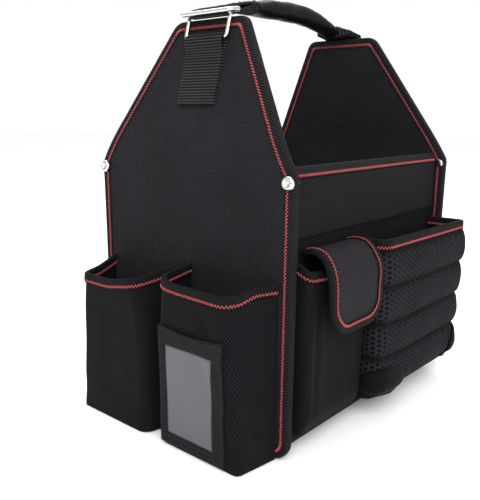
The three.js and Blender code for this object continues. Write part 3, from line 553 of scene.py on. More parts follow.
# End panels.
panelForm = {
    "middle": 123.5, "core": 4.4, "shoulderHalf": 107.0, "bottomHalf": 105.5, "topHalf": 37.0,
    "shoulder": 219.0, "top": 335.0, "lean": 28.0, "blend": 0.25, "bottomCorner": 16.0, "corner": 12.0,
    "crown": 0.8, "uneven": 0.3,
}


def leanAt(z):  # nothing below the shoulder, a parabola over the blend, then a straight slope
    share = np.clip((z - panelForm["shoulder"]) / (panelForm["top"] - panelForm["shoulder"]), 0, None)
    blend = panelForm["blend"]
    slope = panelForm["lean"] / (1 - blend / 2)
    return np.where(share < blend, slope * share**2 / (2 * blend), slope * (share - blend / 2))


def lineReader(line, length, closed=False):
    # a point and its left normal at length s, read between two neighbours of an evenly spaced line
    normals = leftNormals(line, closed)
    count = len(line)

    def read(s):
        at = np.mod(s, length) / length * count if closed else np.clip(s / length, 0, 1) * (count - 1)
        low = np.floor(at).astype(int) % count
        high = (low + 1) % count if closed else np.minimum(low + 1, count - 1)
        part = (at - np.floor(at))[..., None]
        return line[low] * (1 - part) + line[high] * part, unit(
            normals[low] * (1 - part) + normals[high] * part
        )

    return read


def panelOutline():
    # from the middle of the lower edge round the right side, over the top and down the left, evenly spaced
    f = panelForm
    corners = [(0, 0), (f["bottomHalf"], 0), (f["shoulderHalf"], f["shoulder"]), (f["topHalf"], f["top"])]
    corners += [(-y, z) for y, z in corners[:0:-1]] + [(0, 0)]
    radii = [f["bottomCorner"], f["corner"], f["corner"]]
    return evenly(roundPath(corners, radii + radii[::-1])[:-1], 900, closed=True)


panelLine, panelRun = panelOutline()
readPanel = lineReader(panelLine, panelRun, closed=True)


def panelSpot(side):
    # a place on the panel's edge: length run round it, depth inward and distance off its middle plane
    def spot(s, depth, across):
        s, depth, across = np.broadcast_arrays(s, depth, across)
        point, inward = readPanel(s)
        flat = point + inward * depth[..., None]
        x = side * (panelForm["middle"] + across - leanAt(flat[..., 1]))
        return joined(x, flat[..., 0], flat[..., 1])

    return spot


def makePanel(label, side):
    # y = a h(z) with h the outline's half width, and a crown of 1-a^6 on both faces
    line = panelLine + leftNormals(panelLine, True) * cloth["tapeProud"]
    right = line[line[:, 0] > 0]
    order = np.argsort(right[:, 1])
    low, high = right[:, 1].min(), right[:, 1].max()
    bottom = low + 16 * (1 - np.cos(np.linspace(0, 1.3, 9)))
    top = high - 9 * np.cos(np.linspace(0.3, math.pi / 2, 7))
    z = np.concatenate([bottom, np.linspace(low + 14, high - 9, 110), top])
    half = np.interp(z, right[order, 1], right[order, 0])
    a = np.linspace(-1, 1, 71)[None, :]
    y, zz = half[:, None] * a, np.broadcast_to(z[:, None], (len(z), 71))
    crown = panelForm["crown"] * (1 - a**6) * smooth(zz, 0, 25) * smooth(-zz, -high, -high + 30)
    faces = []
    for way in (1, -1):
        raw = joined(np.full_like(zz, way * 200.0), y, zz)
        across = way * (panelForm["core"] / 2 + crown + panelForm["uneven"] * cloudy(raw, 80, 11) * crown)
        faces.append(joined(side * (panelForm["middle"] + across - leanAt(zz)), y, zz))
    piece = putPiece("padded_panel_" + label, shell(*faces, joined(y, zz)), "panel", ["end_panel_" + label])
    bindEdge(
        "panel_binding_" + label, panelSpot(side), panelRun, panelForm["core"], "tape",
        ["panel_tape_" + label], closed=True, seed=5 + side,
    )


rivetForm = {"y": 101.8, "z": 215.0, "face": 127.3, "through": 7.6, "disc": 3.6, "shank": 2.0}


def makeRivet(label, side, edge, way):
    # radius against height, turned round the rivet's axis: a rolled rim with a sunk centre, shank and disc
    f = rivetForm
    profile = np.array([
        (0.0, 1.0), (1.1, 1.05), (1.7, 1.3), (2.1, 2.0), (2.7, 2.6), (3.4, 2.8), (4.2, 2.5), (4.9, 1.7),
        (5.3, 0.8), (5.3, 0.25), (5.0, 0.0), (f["shank"], 0.0), (f["shank"], -f["through"]),
        (f["disc"], -f["through"]), (f["disc"], -f["through"] - 0.6), (2.9, -f["through"] - 1.1),
        (0.0, -f["through"] - 1.1),
    ])
    angle = np.linspace(0, 2 * math.pi, 40, endpoint=False)
    radius, height = profile[:, 0][None], profile[:, 1][None]
    points = joined(
        side * (f["face"] + height),
        way * f["y"] + radius * np.cos(angle)[:, None],
        f["z"] + radius * np.sin(angle)[:, None],
    )
    quads = gridQuads(40, len(profile), wrapRows=True)
    flat = np.zeros((points.size // 3, 2))
    putPiece(
        f"rivet_cap_{label}_{edge}", (points.reshape(-1, 3), quads, flat), "nickel",
        [f"rivet_{label}_{edge}"],
    )


for label, side in (("near", -1), ("far", 1)):
    makePanel(label, side)
    for edge, way in (("front", -1), ("back", 1)):
        makeRivet(label, side, edge, way)
print("end panels made")

# Side walls, base and band.
wallForm = {
    "face": 96.0, "top": 225.0, "bend": 12.0, "thick": 3.0, "long": 120.9, "short": 119.3, "uneven": 0.35,
}
wallSeat = wallForm["face"] + cloth["gap"]
bandForm = {"low": 171.7, "high": 216.2, "stop": 117.4, "thick": 1.5, "lift": 0.9}


def makeWall(label, side):
    # a J: straight down and round into the base, carried along X
    f = wallForm
    line, run = evenly(
        roundPath([(f["face"], f["top"] - 1.3), (f["face"], 0), (f["face"] - f["bend"], 0)], [f["bend"]], 10),
        90,
    )
    normal = leftNormals(line)
    share = np.linspace(-1, 1, 100)
    z = line[:, 1][:, None]
    half = f["short"] + (f["long"] - f["short"]) * smooth(z, 16.5, 22) * (1 - smooth(z, 205, 209))
    x = share[None] * half
    raw = joined(x, line[:, :1], z)
    calm = (1 - share[None] ** 4) * smooth(-z, -214, -195) * smooth(z, 12, 40)
    give = f["uneven"] * cloudy(raw, 75, 31 + side) * calm
    seam = -0.7 * np.exp(-(((x + 37) / 0.9) ** 2)) * (side < 0) * smooth(-z, -172, -168)
    faces = []
    for depth in (0.0, f["thick"]):
        flat = line[:, None] + normal[:, None] * (np.minimum(give + seam, 0.25) - depth)[..., None]
        faces.append(joined(x, side * flat[..., 0], flat[..., 1]))
    uv = joined(x, np.linspace(0, run, 90)[:, None])
    putPiece("wall_" + label, shell(*faces, uv), "wall", ["side_wall_" + label])

    def spot(s, depth, across):
        s, depth, across = np.broadcast_arrays(s, depth, across)
        return joined(s - f["short"], side * (f["face"] - f["thick"] / 2 + across), f["top"] - depth)

    bindEdge(
        "wall_binding_" + label, spot, 2 * f["short"], f["thick"], "tape", ["wall_tape_" + label],
        seed=17 + side,
    )


def slab(low, high, step=6.0):
    # two level grids a thickness apart, closed round the edge
    x = np.linspace(low[0], high[0], int((high[0] - low[0]) / step) + 2)
    y = np.linspace(low[1], high[1], int((high[1] - low[1]) / step) + 2)
    xx, yy = np.meshgrid(x, y)
    faces = [joined(xx, yy, np.full_like(xx, z)) for z in (high[2], low[2])]
    return shell(*faces, joined(xx, yy))


def makeBand():
    # a flat strip whose free lower edge stands off in shallow waves
    f = bandForm
    x, z = np.meshgrid(np.linspace(-f["stop"], f["stop"], 160), np.linspace(f["low"], f["high"], 24))
    loose = smooth(-z, -f["low"] - 16, -f["low"])
    lift = f["lift"] * loose * (0.35 + 0.3 * np.sin(x / 17.0) + 0.2 * np.sin(x / 7.3 + 1))
    low = z - 0.5 * loose * np.sin(x / 31.0 + 0.5)
    faces = [joined(x, -(wallSeat + off + lift), low) for off in (f["thick"], 0.0)]
    putPiece("ribbed_band", shell(*faces, joined(x, z)), "band", ["woven_band"])


makeWall("front", -1)
makeWall("back", 1)
putPiece("base_board", slab((-119.4, -83.7, 0), (119.4, 83.7, 4)), "wall", ["base"])
makeBand()
print("walls, base and band made")


# Pockets.
def makePlans(own):
    # the U of each level: seat, side, corner, front, corner, side, seat. A row of sections holds height,
    # depth, taper, corner and, where the second side has its own, that taper
    table = np.array(own["sections"], float)
    levels = np.linspace(0, 1, 49)
    blur = np.linspace(-0.03, 0.03, 5)
    columns = (1, 2, 3, table.shape[1] - 1 if table.shape[1] > 4 else 2)
    depth, taper, corner, second = (
        np.mean([np.interp(levels + b, table[:, 0], table[:, k]) for b in blur], axis=0) for k in columns
    )
    lines = []
    for d, t, c, t2 in zip(depth, taper, corner, second):
        corners = [
            (own["from"], 0), (own["from"] + own["taperFrom"] * t, own["depthFrom"] * d),
            (own["to"] - own["taperTo"] * t2, own["depthTo"] * d), (own["to"], 0),
        ]
        line, run = evenly(roundPath(corners, [own["cornerFrom"] * c, own["cornerTo"] * c]), own["count"])
        lines.append(line)
    plans = np.array(lines)
    along = unit(np.gradient(plans, axis=1))
    own.update(plans=plans, normals=joined(-along[..., 1], along[..., 0]), run=run)
    return own


def rimOf(own, u):
    # the rim's height: the top less the drop times the table's share, blurred along the rim
    table = np.array(own["rim"], float)
    share = np.mean([np.interp(u + b, table[:, 0], table[:, 1]) for b in np.linspace(-0.025, 0.025, 7)], axis=0)
    return own["top"] - own["drop"] * share


def pocketAt(own, u, z, off):
    # read between levels and points, then stood off along the plan's normal by off and the cloth's give
    u, z, off = np.broadcast_arrays(u, z, off)
    levels, count = own["plans"].shape[:2]
    row = np.clip((z - own["bottom"]) / (own["top"] - own["bottom"]), 0, 1) * (levels - 1)
    column = np.clip(u, 0, 1) * (count - 1)
    r, c = np.minimum(row.astype(int), levels - 2), np.minimum(column.astype(int), count - 2)
    fr, fc = (row - r)[..., None], (column - c)[..., None]

    def read(grid):
        low = grid[r, c] * (1 - fc) + grid[r, c + 1] * fc
        high = grid[r + 1, c] * (1 - fc) + grid[r + 1, c + 1] * fc
        return low * (1 - fr) + high * fr

    point, normal = read(own["plans"]), unit(read(own["normals"]))
    push = off + own["give"](own["place"](point[..., 0], point[..., 1], z), u, z)
    point = point + normal * push[..., None]
    return own["place"](point[..., 0], np.maximum(point[..., 1], 0), z)


def pocketSpot(own):
    # a place on the rim: length run along it, depth below it and distance off the middle of the wall
    def spot(s, depth, across):
        u = np.broadcast_to(s, np.broadcast(s, depth, across).shape) / own["run"]
        return pocketAt(own, u, rimOf(own, u) - depth, across - own["wall"] / 2)

    return spot


def pocketParts(own, rows=60):
    # the wall from the underside to the rim's cloth edge, and a floor drawn in to the seat
    u = np.linspace(0, 1, own["count"])[None]
    v = np.linspace(0, 1, rows)[:, None]
    z = own["bottom"] + (rimOf(own, u) - cloth["tapeProud"] - own["bottom"]) * v
    uv = joined(u * own["run"], z)
    wall = shell(pocketAt(own, u, z, 0.0), pocketAt(own, u, z, -own["wall"]), uv)
    line = own["plans"][0] - own["normals"][0] * (own["wall"] * 0.6)
    w = np.linspace(1, 0.0, 10)[:, None]
    p, q = np.broadcast_arrays(line[None, :, 0], np.maximum(line[None, :, 1], 0) * w)
    faces = [own["place"](p, q, np.full_like(p, own["bottom"] + lift)) for lift in (own["wall"], 0.05)]
    return [wall, shell(*faces, joined(p, q))]


def wallPocket(side, own):
    # a pocket on the front (-1) or back (1) wall; its plan runs along X and out from the wall
    shared = {
        "taperFrom": 0.0, "taperTo": 0.0, "drop": 0.0, "wall": 2.0, "rim": [(0, 0), (1, 0)], "seat": wallSeat,
    }
    return {**shared, **own, "place": lambda p, q, z: joined(p, side * (wallSeat + q), z)}


def makePocket(name, own, node, tapeNode, seed):
    # the cloth and the bound rim of a pocket in the twill
    makePlans(own)
    putPiece(name, pocketParts(own), "pouch", [node])
    bindEdge(name + "_binding", pocketSpot(own), own["run"], own["wall"], "darkTape", [tapeNode], seed=seed)


pouchForm = {
    "bottom": 1.0, "top": 143.0, "drop": 13.5, "wall": 2.0, "seat": 127.3, "depthFrom": 41.5, "depthTo": 41.5,
    "count": 110, "uneven": 0.55,
}
pouches = {
    "front": {
        "from": -94.5, "to": -2.8, "taperFrom": 20.0, "taperTo": 3.0, "cornerFrom": 10.0, "cornerTo": 20.0,
        "sections": [(0, 0.92, 0.25, 0.5), (0.7, 0.95, 0.5, 0.5), (1, 1, 1, 1)],
        "rim": [(0, 0.1), (0.13, 0.13), (0.21, 0.5), (0.3, 0.52), (0.6, 0.42), (0.85, 0.18), (1, 0)],
        "folds": [
            ((38, -55, 118), (14, -92, 52), 5.0, 2.6), ((39, -66, 92), (20, -91, 30), 4.5, 2.0),
            ((41, -80, 60), (8, -94, 14), 5.0, 1.8), ((40, -78, 128), (30, -84, 80), 4.0, 1.6),
        ],
    },
    "back": {
        "from": 2.8, "to": 94.5, "taperFrom": 20.0, "taperTo": 9.0, "cornerFrom": 20.0, "cornerTo": 10.0,
        "sections": [
            (0, 0.97, 0.4, 0.5, -0.2), (0.15, 0.96, 0.42, 0.5, 0.1), (0.7, 0.95, 0.6, 0.5, 0.6),
            (1, 1, 1, 1, 1),
        ],
        "rim": [(0, 0.1), (0.3, 0.8), (0.5, 1.2), (0.72, 1.2), (0.85, 1.05), (1, 0.6)],
        "folds": [
            ((39, 20, 25), (40, 70, 40), 9.0, 0.6), ((41, 30, 118), (38, 24, 40), 9.0, 0.6),
            ((40, 78, 110), (39, 84, 45), 7.0, 0.5),
        ],
    },
}


def pouchOf(side, which):
    # a pouch on an end panel; it gives by a slow cloud and its folds, less near its sides, rim and floor
    own = {**pouchForm, **pouches[which]}
    own["place"] = lambda p, q, z: joined(side * (own["seat"] + q), p, z)

    def give(raw, u, z):
        calm = midway(u) * smooth(-z, -rimOf(own, u) + 6, -rimOf(own, u) + 30) * smooth(z, 2, 25)
        local = joined(side * raw[..., 0] - own["seat"], raw[..., 1], raw[..., 2])
        folds = sum(crease(local, *fold) for fold in own["folds"])
        return calm * (own["uneven"] * cloudy(raw, 62, 41 + side + len(which)) + folds)

    own["give"] = give
    return own


nearFront = None
for label, side in (("near", -1), ("far", 1)):
    for which in ("front", "back"):
        own = pouchOf(side, which)
        makePocket(
            f"pouch_{label}_{which}_cloth", own, f"pouch_{label}_{which}", f"pouch_tape_{label}_{which}",
            seed=7 + side,
        )
        nearFront = own if (label, which) == ("near", "front") else nearFront
print("end pouches made")

# Card sleeve.
sleeveForm = {
    "out": (-77.5, -8.5, 3.0, 102.0), "in": (-65.5, -15.5, 12.0, 87.0), "thick": 1.5, "stand": 0.3,
    "window": 0.8, "sag": 2.2, "gape": 1.3,
}


def sleeveAt(y, z, off):
    # the pouch's flat front at that height plus its cloth's give, stood off; the top edge sags and gapes
    own = nearFront
    heights = np.linspace(own["bottom"], own["top"], len(own["plans"]))
    q = np.interp(z, heights, own["plans"][:, own["count"] // 2, 1])
    share = np.clip((y - sleeveForm["out"][0]) / (sleeveForm["out"][1] - sleeveForm["out"][0]), 0, 1)
    upper = smooth(z, 88, 102)
    raw = joined(-(own["seat"] + q), y, z)
    arch = np.sin(math.pi * share)
    push = own["give"](raw, np.full(y.shape, 0.5), z) + off + sleeveForm["gape"] * upper * arch
    return joined(-(own["seat"] + q + push), y, z - sleeveForm["sag"] * upper * arch**1.5)


def rectangle(bounds, count):  # the four sides in turn, count points on each
    y0, y1, z0, z1 = bounds
    corners = np.array([(y0, z0), (y1, z0), (y1, z1), (y0, z1)], float)
    t = np.arange(count)[None, :, None] / count
    return (corners[:, None] * (1 - t) + np.roll(corners, -1, 0)[:, None] * t).reshape(-1, 2)


def makeSleeve():
    # a frame: lines from the window's edge to the sleeve's edge, outer face out and inner face back
    f = sleeveForm
    inner, outer = rectangle(f["in"], 28), rectangle(f["out"], 28)
    r = np.concatenate([np.linspace(0, 1, 9), np.linspace(1, 0, 9)])
    face = f["stand"] + f["thick"]
    off = np.concatenate([face - 0.25 * (np.abs(np.linspace(-1, 1, 9)) ** 8), np.full(9, f["stand"])])
    y, z = np.moveaxis(inner[:, None] * (1 - r[:, None]) + outer[:, None] * r[:, None], -1, 0)
    rings = sleeveAt(y, z, np.broadcast_to(off, y.shape))
    putPiece("card_sleeve_cloth", tube(rings, joined(y, z), True), "sleeve", ["card_sleeve"])
    y, z = np.meshgrid(
        np.linspace(f["in"][0] + 0.2, f["in"][1] - 0.2, 26),
        np.linspace(f["in"][2] + 0.2, f["in"][3] - 0.2, 40),
    )
    bow = 0.25 * cloudy(joined(y, y, z), 45, 8)
    faces = [sleeveAt(y, z, f["stand"] + up + bow * 0.6) for up in (f["window"], 0.0)]
    putPiece("card_window_sheet", shell(*faces, joined(y, z)), "vinyl", ["card_window"])
    runs = []
    for bounds, grow in ((f["in"], 2.0), (f["out"], -2.2)):
        y0, y1, z0, z1 = bounds
        line = rectangle((y0 - grow, y1 + grow, z0 - grow, z1 + grow), 60 if grow > 0 else 90)
        line = np.vstack([line, line[:1]])
        y, z = line.T
        here = sleeveAt(y, z, np.full(y.shape, face + 0.02))
        normal = np.broadcast_to([-1.0, 0, 0], here.shape)
        runs += dashes(here, normal)
    putThreads("black_stitch_sleeve", runs, 0.26, "black")


makeSleeve()
print("card sleeve made")

# Flap pocket and flap.
flapPocketForm = wallPocket(-1, {
    "from": -112.0, "to": -29.5, "depthFrom": 16.5, "depthTo": 16.5, "cornerFrom": 6.0, "cornerTo": 6.0,
    "bottom": 18.0, "top": 157.0, "drop": 8.5, "count": 110,
    "sections": [(0, 0.5, 0, 0.7), (0.045, 0.8, 0, 0.8), (0.1, 0.97, 0, 1), (1, 1, 0, 1)],
    "rim": [(0, 0), (0.14, 0.85), (0.3, 1), (1, 0.9)],
    "folds": [
        ((-101, -113, 138), (-104, -112, 34), 3.5, 1.3), ((-44, -113, 120), (-36, -113, 40), 5.0, 1.0),
        ((-95, -113, 60), (-60, -113, 30), 7.0, 0.9),
    ],
})


def flapPocketGive(raw, u, z):
    # a slow cloud and the folds, fading towards the sides, the rim and the floor
    own = flapPocketForm
    calm = midway(u) * smooth(-z, -140, -118) * smooth(z, 20, 40)
    return calm * (0.8 * cloudy(raw, 58, 57) + sum(crease(raw, *fold) for fold in own["folds"]))


flapPocketForm["give"] = flapPocketGive
makePocket("flap_pocket_cloth", flapPocketForm, "flap_pocket", "flap_pocket_tape", seed=23)

flapForm = {
    "middle": -68.0, "half": 38.0, "tuck": 3.0, "rise": 63.5, "low": 99.5, "corner": 24.0, "thick": 1.4,
    "reach": 31.0, "flatWide": 73.5, "meanWide": 70.5,
    "course": [(0.025, 0.97), (0.3, 1.0), (0.62, 0.96), (0.87, 0.78), (0.98, 0.42), (1.0, 0.0)],
}


def flapCourse():
    # a spline through the course: each stretch is a cubic with end slopes of half its neighbours' span
    table = np.array(flapForm["course"])
    knots = np.stack(
        [-(wallSeat + table[:, 0] * flapForm["reach"]), flapForm["low"] + table[:, 1] * flapForm["rise"]],
        axis=1,
    )
    around = np.vstack([2 * knots[0] - knots[1], knots, 2 * knots[-1] - knots[-2]])
    t = np.linspace(0, 1, 24, endpoint=False)[:, None]
    parts = []
    for a, b, c, d in zip(around, around[1:], around[2:], around[3:]):
        parts.append(
            0.5 * (2 * b + (c - a) * t + (2 * a - 5 * b + 4 * c - d) * t**2 + (3 * b - a - 3 * c + d) * t**3)
        )
    return evenly(np.vstack([*parts, knots[-1:]]), 200)


flapLine, flapRun = flapCourse()
readFlap = lineReader(flapLine, flapRun)


def flapAt(p, q, across):
    # q runs up from the lower edge; the cloth ripples a little towards its right edge
    p, q, across = np.broadcast_arrays(p, q, across)
    point, normal = readFlap(np.clip(flapRun - q, 0, flapRun))
    ripple = 0.9 * np.sin(q / 6.5 + 0.8) * smooth(p, 18, 38) * smooth(-q, -62, -40) * smooth(q, 8, 24)
    ripple = ripple + 0.5 * cloudy(joined(p, q, q), 50, 71) * smooth(-q, -75, -50)
    out = -(across + ripple)
    return joined(
        flapForm["middle"] + p, point[..., 0] + normal[..., 0] * out, point[..., 1] + normal[..., 1] * out,
    )


def makeFlap():
    # each row is as wide as the rounded outline at that height, less the tape's fold
    f = flapForm
    corners = [
        (-f["half"] + f["tuck"], flapRun), (-f["half"], flapRun * 0.6), (-f["half"], 0), (f["half"], 0),
        (f["half"], flapRun * 0.6), (f["half"] - f["tuck"], flapRun),
    ]
    line, run = evenly(roundPath(corners, [f["corner"]] * 4), 400)
    read = lineReader(line, run)
    inset = line + leftNormals(line) * cloth["tapeProud"]
    right = inset[200:]
    q = np.concatenate([1.4 + 20 * (1 - np.cos(np.linspace(0, 1.3, 14))), np.linspace(17, flapRun, 50)])
    half = np.interp(q, right[:, 1], right[:, 0])
    p = half[:, None] * np.linspace(-1, 1, 50)[None]
    qq = np.broadcast_to(q[:, None], p.shape)
    faces = [flapAt(p, qq, np.full(p.shape, way * f["thick"] / 2)) for way in (1, -1)]
    piece = putPiece("flap_cloth", shell(*faces, joined(p, qq)), "flap", ["flap"])

    def spot(s, depth, across):
        s, depth, across = np.broadcast_arrays(s, depth, across)
        point, inward = read(s)
        flat = point + inward * depth[..., None]
        return flapAt(flat[..., 0], flat[..., 1], across)

    bindEdge("flap_binding", spot, run, f["thick"], "darkTape", ["flap_tape"], seed=29)


makeFlap()
print("flap pocket and flap made")

# Padded mesh pocket.
ribbedForm = wallPocket(-1, {
    "from": -27.0, "to": 117.8, "taperFrom": 1.3, "taperTo": -2.6, "depthFrom": 30.0, "depthTo": 35.5,
    "cornerFrom": 9.0, "cornerTo": 6.0, "bottom": 21.0, "top": 162.5, "wall": 3.0, "count": 180,
    "ribs": 4, "base": 0.05, "swell": 5.2, "droop": 7.0, "ribbedHigh": 133.0,
    "sections": [
        (0, 0.66, 0.6, 0.7), (0.045, 0.78, 0.8, 0.9), (0.11, 0.83, 1, 1), (0.3, 0.85, 1, 1),
        (0.53, 0.92, 1, 1), (0.75, 0.97, 1, 1), (1, 1, 1, 1),
    ],
    "puff": {"pressure": 4.0, "cap": 2.5, "frames": 20},
})
footForm = {
    "near": {
        "u": [0.06, 0.13, 0.2, 0.27, 0.33, 0.37], "high": [44, 51, 49, 43, 34, 24],
        "low": [24, 23, 20, 17.5, 18, 22], "bulge": 5.5,
    },
    "far": {
        "u": [0.80, 0.83, 0.86, 0.90, 0.95], "high": [40, 53, 57, 56, 52], "low": [24, 22, 21.5, 22, 24],
        "bulge": 1.1,
    },
    "stand": 0.5, "thick": 1.4,
}


def ribPhase(u, z):
    # ribs counted up from the base; the lower seams hang a little towards the left end
    own = ribbedForm
    top = rimOf(own, u) - cloth["tapeWidth"]
    share = np.clip((z - own["bottom"]) / (top - own["bottom"]), 0, 1.001)
    hang = own["droop"] / own["ribbedHigh"] * (1 - u) * smooth(u, 0.1, 0.3)
    share = share + hang * np.sin(math.pi * share) ** 2 * (1 - share)
    return (share - own["base"]) / (1 - own["base"]) * own["ribs"]


def ribbedGive(raw, u, z):
    # sin(pi f^0.8)^0.5 over each rib, with f the share of the way up it, so it is fullest below its middle;
    # flat at the seat, with the quilting's small puckers beside every seam
    own = ribbedForm
    phase = ribPhase(u, z)
    ends = np.clip(np.minimum(u, 1 - u) / 0.13, 0, 1) ** 0.7
    part = np.clip(phase, 0, own["ribs"] - 1e-6) % 1
    wave = np.sin(math.pi * part**0.8)
    pucker = 0.35 * (1 - wave) * np.sin(u * 150 + 4 * np.sin(u * 23)) * smooth(wave, 0.02, 0.3)
    return np.where(
        (phase > 0) & (phase < own["ribs"]),
        ends * (own["swell"] * wave**0.5 + pucker + 0.7 * cloudy(raw, 40, 91) * wave), 0.0,
    )


ribbedForm["give"] = ribbedGive


def puffUp(piece, held, pressure, cap, frames):
    # the cloth blown out between its held seams for a few frames, each point's way shortened to the cap
    seams = piece.vertex_groups.new(name="seams")
    for share in np.unique(np.round(held[held > 0.01], 1)):
        seams.add(np.flatnonzero(np.round(held, 1) == share).tolist(), float(share), "REPLACE")
    puff = piece.modifiers.new("puff", "CLOTH")
    puff.settings.vertex_group_mass = "seams"
    puff.settings.quality = 5
    puff.settings.use_pressure = True
    puff.settings.uniform_pressure_force = pressure
    puff.settings.tension_stiffness = 12
    puff.settings.bending_stiffness = 0.8
    puff.settings.effector_weights.gravity = 0
    puff.collision_settings.use_collision = False
    scene = bpy.context.scene
    scene.frame_start, scene.frame_end = 1, frames
    for step in range(1, frames + 1):
        scene.frame_set(step)
    after = piece.evaluated_get(bpy.context.evaluated_depsgraph_get())
    blown = after.to_mesh()
    rest = np.empty(len(piece.data.vertices) * 3)
    moved = np.empty(len(rest))
    piece.data.vertices.foreach_get("co", rest)
    blown.vertices.foreach_get("co", moved)
    after.to_mesh_clear()
    piece.modifiers.remove(puff)
    way = (moved - rest).reshape(-1, 3)
    length = np.linalg.norm(way, axis=1, keepdims=True)
    cap = cap * mm
    way *= cap * np.tanh(length / cap) / np.maximum(length, 1e-9)
    piece.data.vertices.foreach_set("co", rest + way.ravel())
    piece.data.update()
    scene.frame_set(1)
    print("puffed", piece.name, "by up to", round(float(length.max()) / mm, 2), "mm before the cap")


def heldShare(piece):
    # 1 along the seams, the rim, the seat and the whole inner face, and 0 where the cloth may blow out
    own = ribbedForm
    points = np.empty(len(piece.data.vertices) * 3)
    piece.data.vertices.foreach_get("co", points)
    points = points.reshape(-1, 3) / mm
    p, q = points[:, 0], -points[:, 1] - own["seat"]
    u = np.clip((p - own["from"]) / (own["to"] - own["from"]), 0, 1)
    phase = ribPhase(0.2 + 0.6 * u, points[:, 2])
    wave = np.abs(np.sin(math.pi * np.clip(phase, 0, own["ribs"])))
    depth = own["depthFrom"] + (own["depthTo"] - own["depthFrom"]) * u
    outside = smooth(q, 3, 9) * ((q > depth * 0.80 - 0.5) | (p < own["from"] + 3.0) | (p > own["to"] - 1.0))
    return 1 - outside * smooth(wave, 0.25, 0.6) * (phase > 0) * (phase < own["ribs"])


def makeRibbed():
    # the quilted pocket, its bound rim and the two corner patches that stand off over its floor
    own = makePlans(ribbedForm)
    points, quads, flat = together(pocketParts(own, 96))
    inWall = np.arange(len(flat)) < 2 * 96 * own["count"]
    # the rib count also goes into the seam map, where it places the painted shade along the seams
    count = np.where(inWall, ribPhase(flat[:, 0] / own["run"], flat[:, 1]), 0.5)
    seams = np.clip(count, 0.5, own["ribs"] + 0.5)
    piece = putPiece(
        "padded_mesh_pocket", (points, quads, np.column_stack([flat, seams, seams])), "mesh",
        ["ribbed_pocket"],
    )
    bindEdge(
        "padded_mesh_binding", pocketSpot(own), own["run"], own["wall"], "darkTape", ["ribbed_pocket_tape"],
        seed=37,
    )
    puffUp(piece, heldShare(piece), **own["puff"])
    for label in ("near", "far"):
        foot = footForm[label]
        u = np.linspace(foot["u"][0], foot["u"][-1], 54)[None]
        v = np.linspace(0, 1, 30)[:, None]
        low, high = np.interp(u, foot["u"], foot["low"]), np.interp(u, foot["u"], foot["high"])
        z = low + (high - low) * v
        ease = np.sin(math.pi * np.clip((u - foot["u"][0]) / (foot["u"][-1] - foot["u"][0]), 0, 1)) ** 1.1
        bulge = foot["bulge"] * ease * np.sin(math.pi * (0.12 + 0.84 * v)) ** 1.2
        faces = [pocketAt(own, u, z, footForm["stand"] + bulge + up) for up in (footForm["thick"], 0.0)]
        uv = joined(u * own["run"], z)
        putPiece("foot_cloth_" + label, shell(*faces, uv), "foot", ["foot_patch_" + label])


makeRibbed()
print("padded mesh pocket made")

# Back pocket.
backPocketForm = wallPocket(1, {
    "from": -100.0, "to": 100.0, "depthFrom": 18.0, "depthTo": 18.0, "cornerFrom": 8.0, "cornerTo": 8.0,
    "bottom": 14.0, "top": 150.0, "count": 160,
    "sections": [(0, 0.6, 0, 0.8), (0.1, 0.97, 0, 1), (1, 1, 0, 1)],
})
backPocketForm["give"] = lambda raw, u, z: (
    midway(u) * smooth(-z, -134, -112) * smooth(z, 16, 40) * 1.1 * cloudy(raw, 66, 77)
)
makePocket("back_pocket_cloth", backPocketForm, "back_pocket", "back_pocket_tape", seed=43)
print("back pocket made")

# Webbing, rings and handle.
strapForm = {
    "width": 40.0, "thick": 1.7, "tabLow": 269.0, "linkWire": 1.6, "linkHeight": 20.0, "linkBar": 319.5,
    "strapWire": 1.8,
    "strapInner": 48.0, "strapDepth": 12.5, "barGap": 5.0, "corner": 3.0, "rib": 2.2,
}
slope = panelForm["lean"] / (1 - panelForm["blend"] / 2) / (panelForm["top"] - panelForm["shoulder"])
ends = {
    "near": {
        "side": -1, "line": -2.5, "drop": 0.0, "link": math.atan(slope), "loop": math.atan(slope),
        "strap": 0.15, "mouth": -52.0, "flare": 21.0,
    },
    "far": {
        "side": 1, "line": 4.5, "drop": 15.0, "link": 0.09, "loop": 1.31, "strap": 1.13, "mouth": 80.0,
        "flare": 8.0,
    },
}
gripForm = {
    "top": 359.5, "from": -52.0, "to": 80.0, "wide": 17.5, "tall": 16.5, "endWide": 21.0, "endTall": 11.0,
    "sag": 3.5, "sagFar": 10.0,
    "along": [0, 0.08, 0.2, 0.35, 0.65, 0.8, 0.92, 1], "share": [0, 0.35, 0.8, 1, 1, 0.8, 0.35, 0],
}


def webbing(line, place, ribs=0.16, cross=26):
    # a flat strip: half its thickness times 1 + ribs(|sin(pi s/pitch)| - 0.6), thinned to a rolled selvedge
    f = strapForm
    path, run = evenly(line, max(int(np.linalg.norm(np.diff(line, axis=0), axis=1).sum() / 0.45), 40))
    normal = leftNormals(path)
    s = np.linspace(0, run, len(path))[:, None]
    w = np.linspace(-1, 1, cross)
    across = np.concatenate([w, w[::-1]])[None] * (f["width"] / 2)
    way = np.concatenate([np.ones(cross), -np.ones(cross)])[None]
    body = f["thick"] / 2 * (1 - np.abs(across / (f["width"] / 2)) ** 16 * 0.6)
    half = way * body * (1 + ribs * (np.abs(np.sin(math.pi * s / f["rib"])) - 0.6))
    rim = (np.abs(across) > f["width"] / 2 - 0.6) * np.sign(across)
    edge = 0.12 * np.sin(2 * math.pi * s / f["rib"]) * rim
    p = path[:, :1] + normal[:, :1] * half
    q = path[:, 1:] + normal[:, 1:] * half
    rings = place(p, q, np.broadcast_to(across, p.shape) + edge)
    return tube(rings, joined(s, across), False)


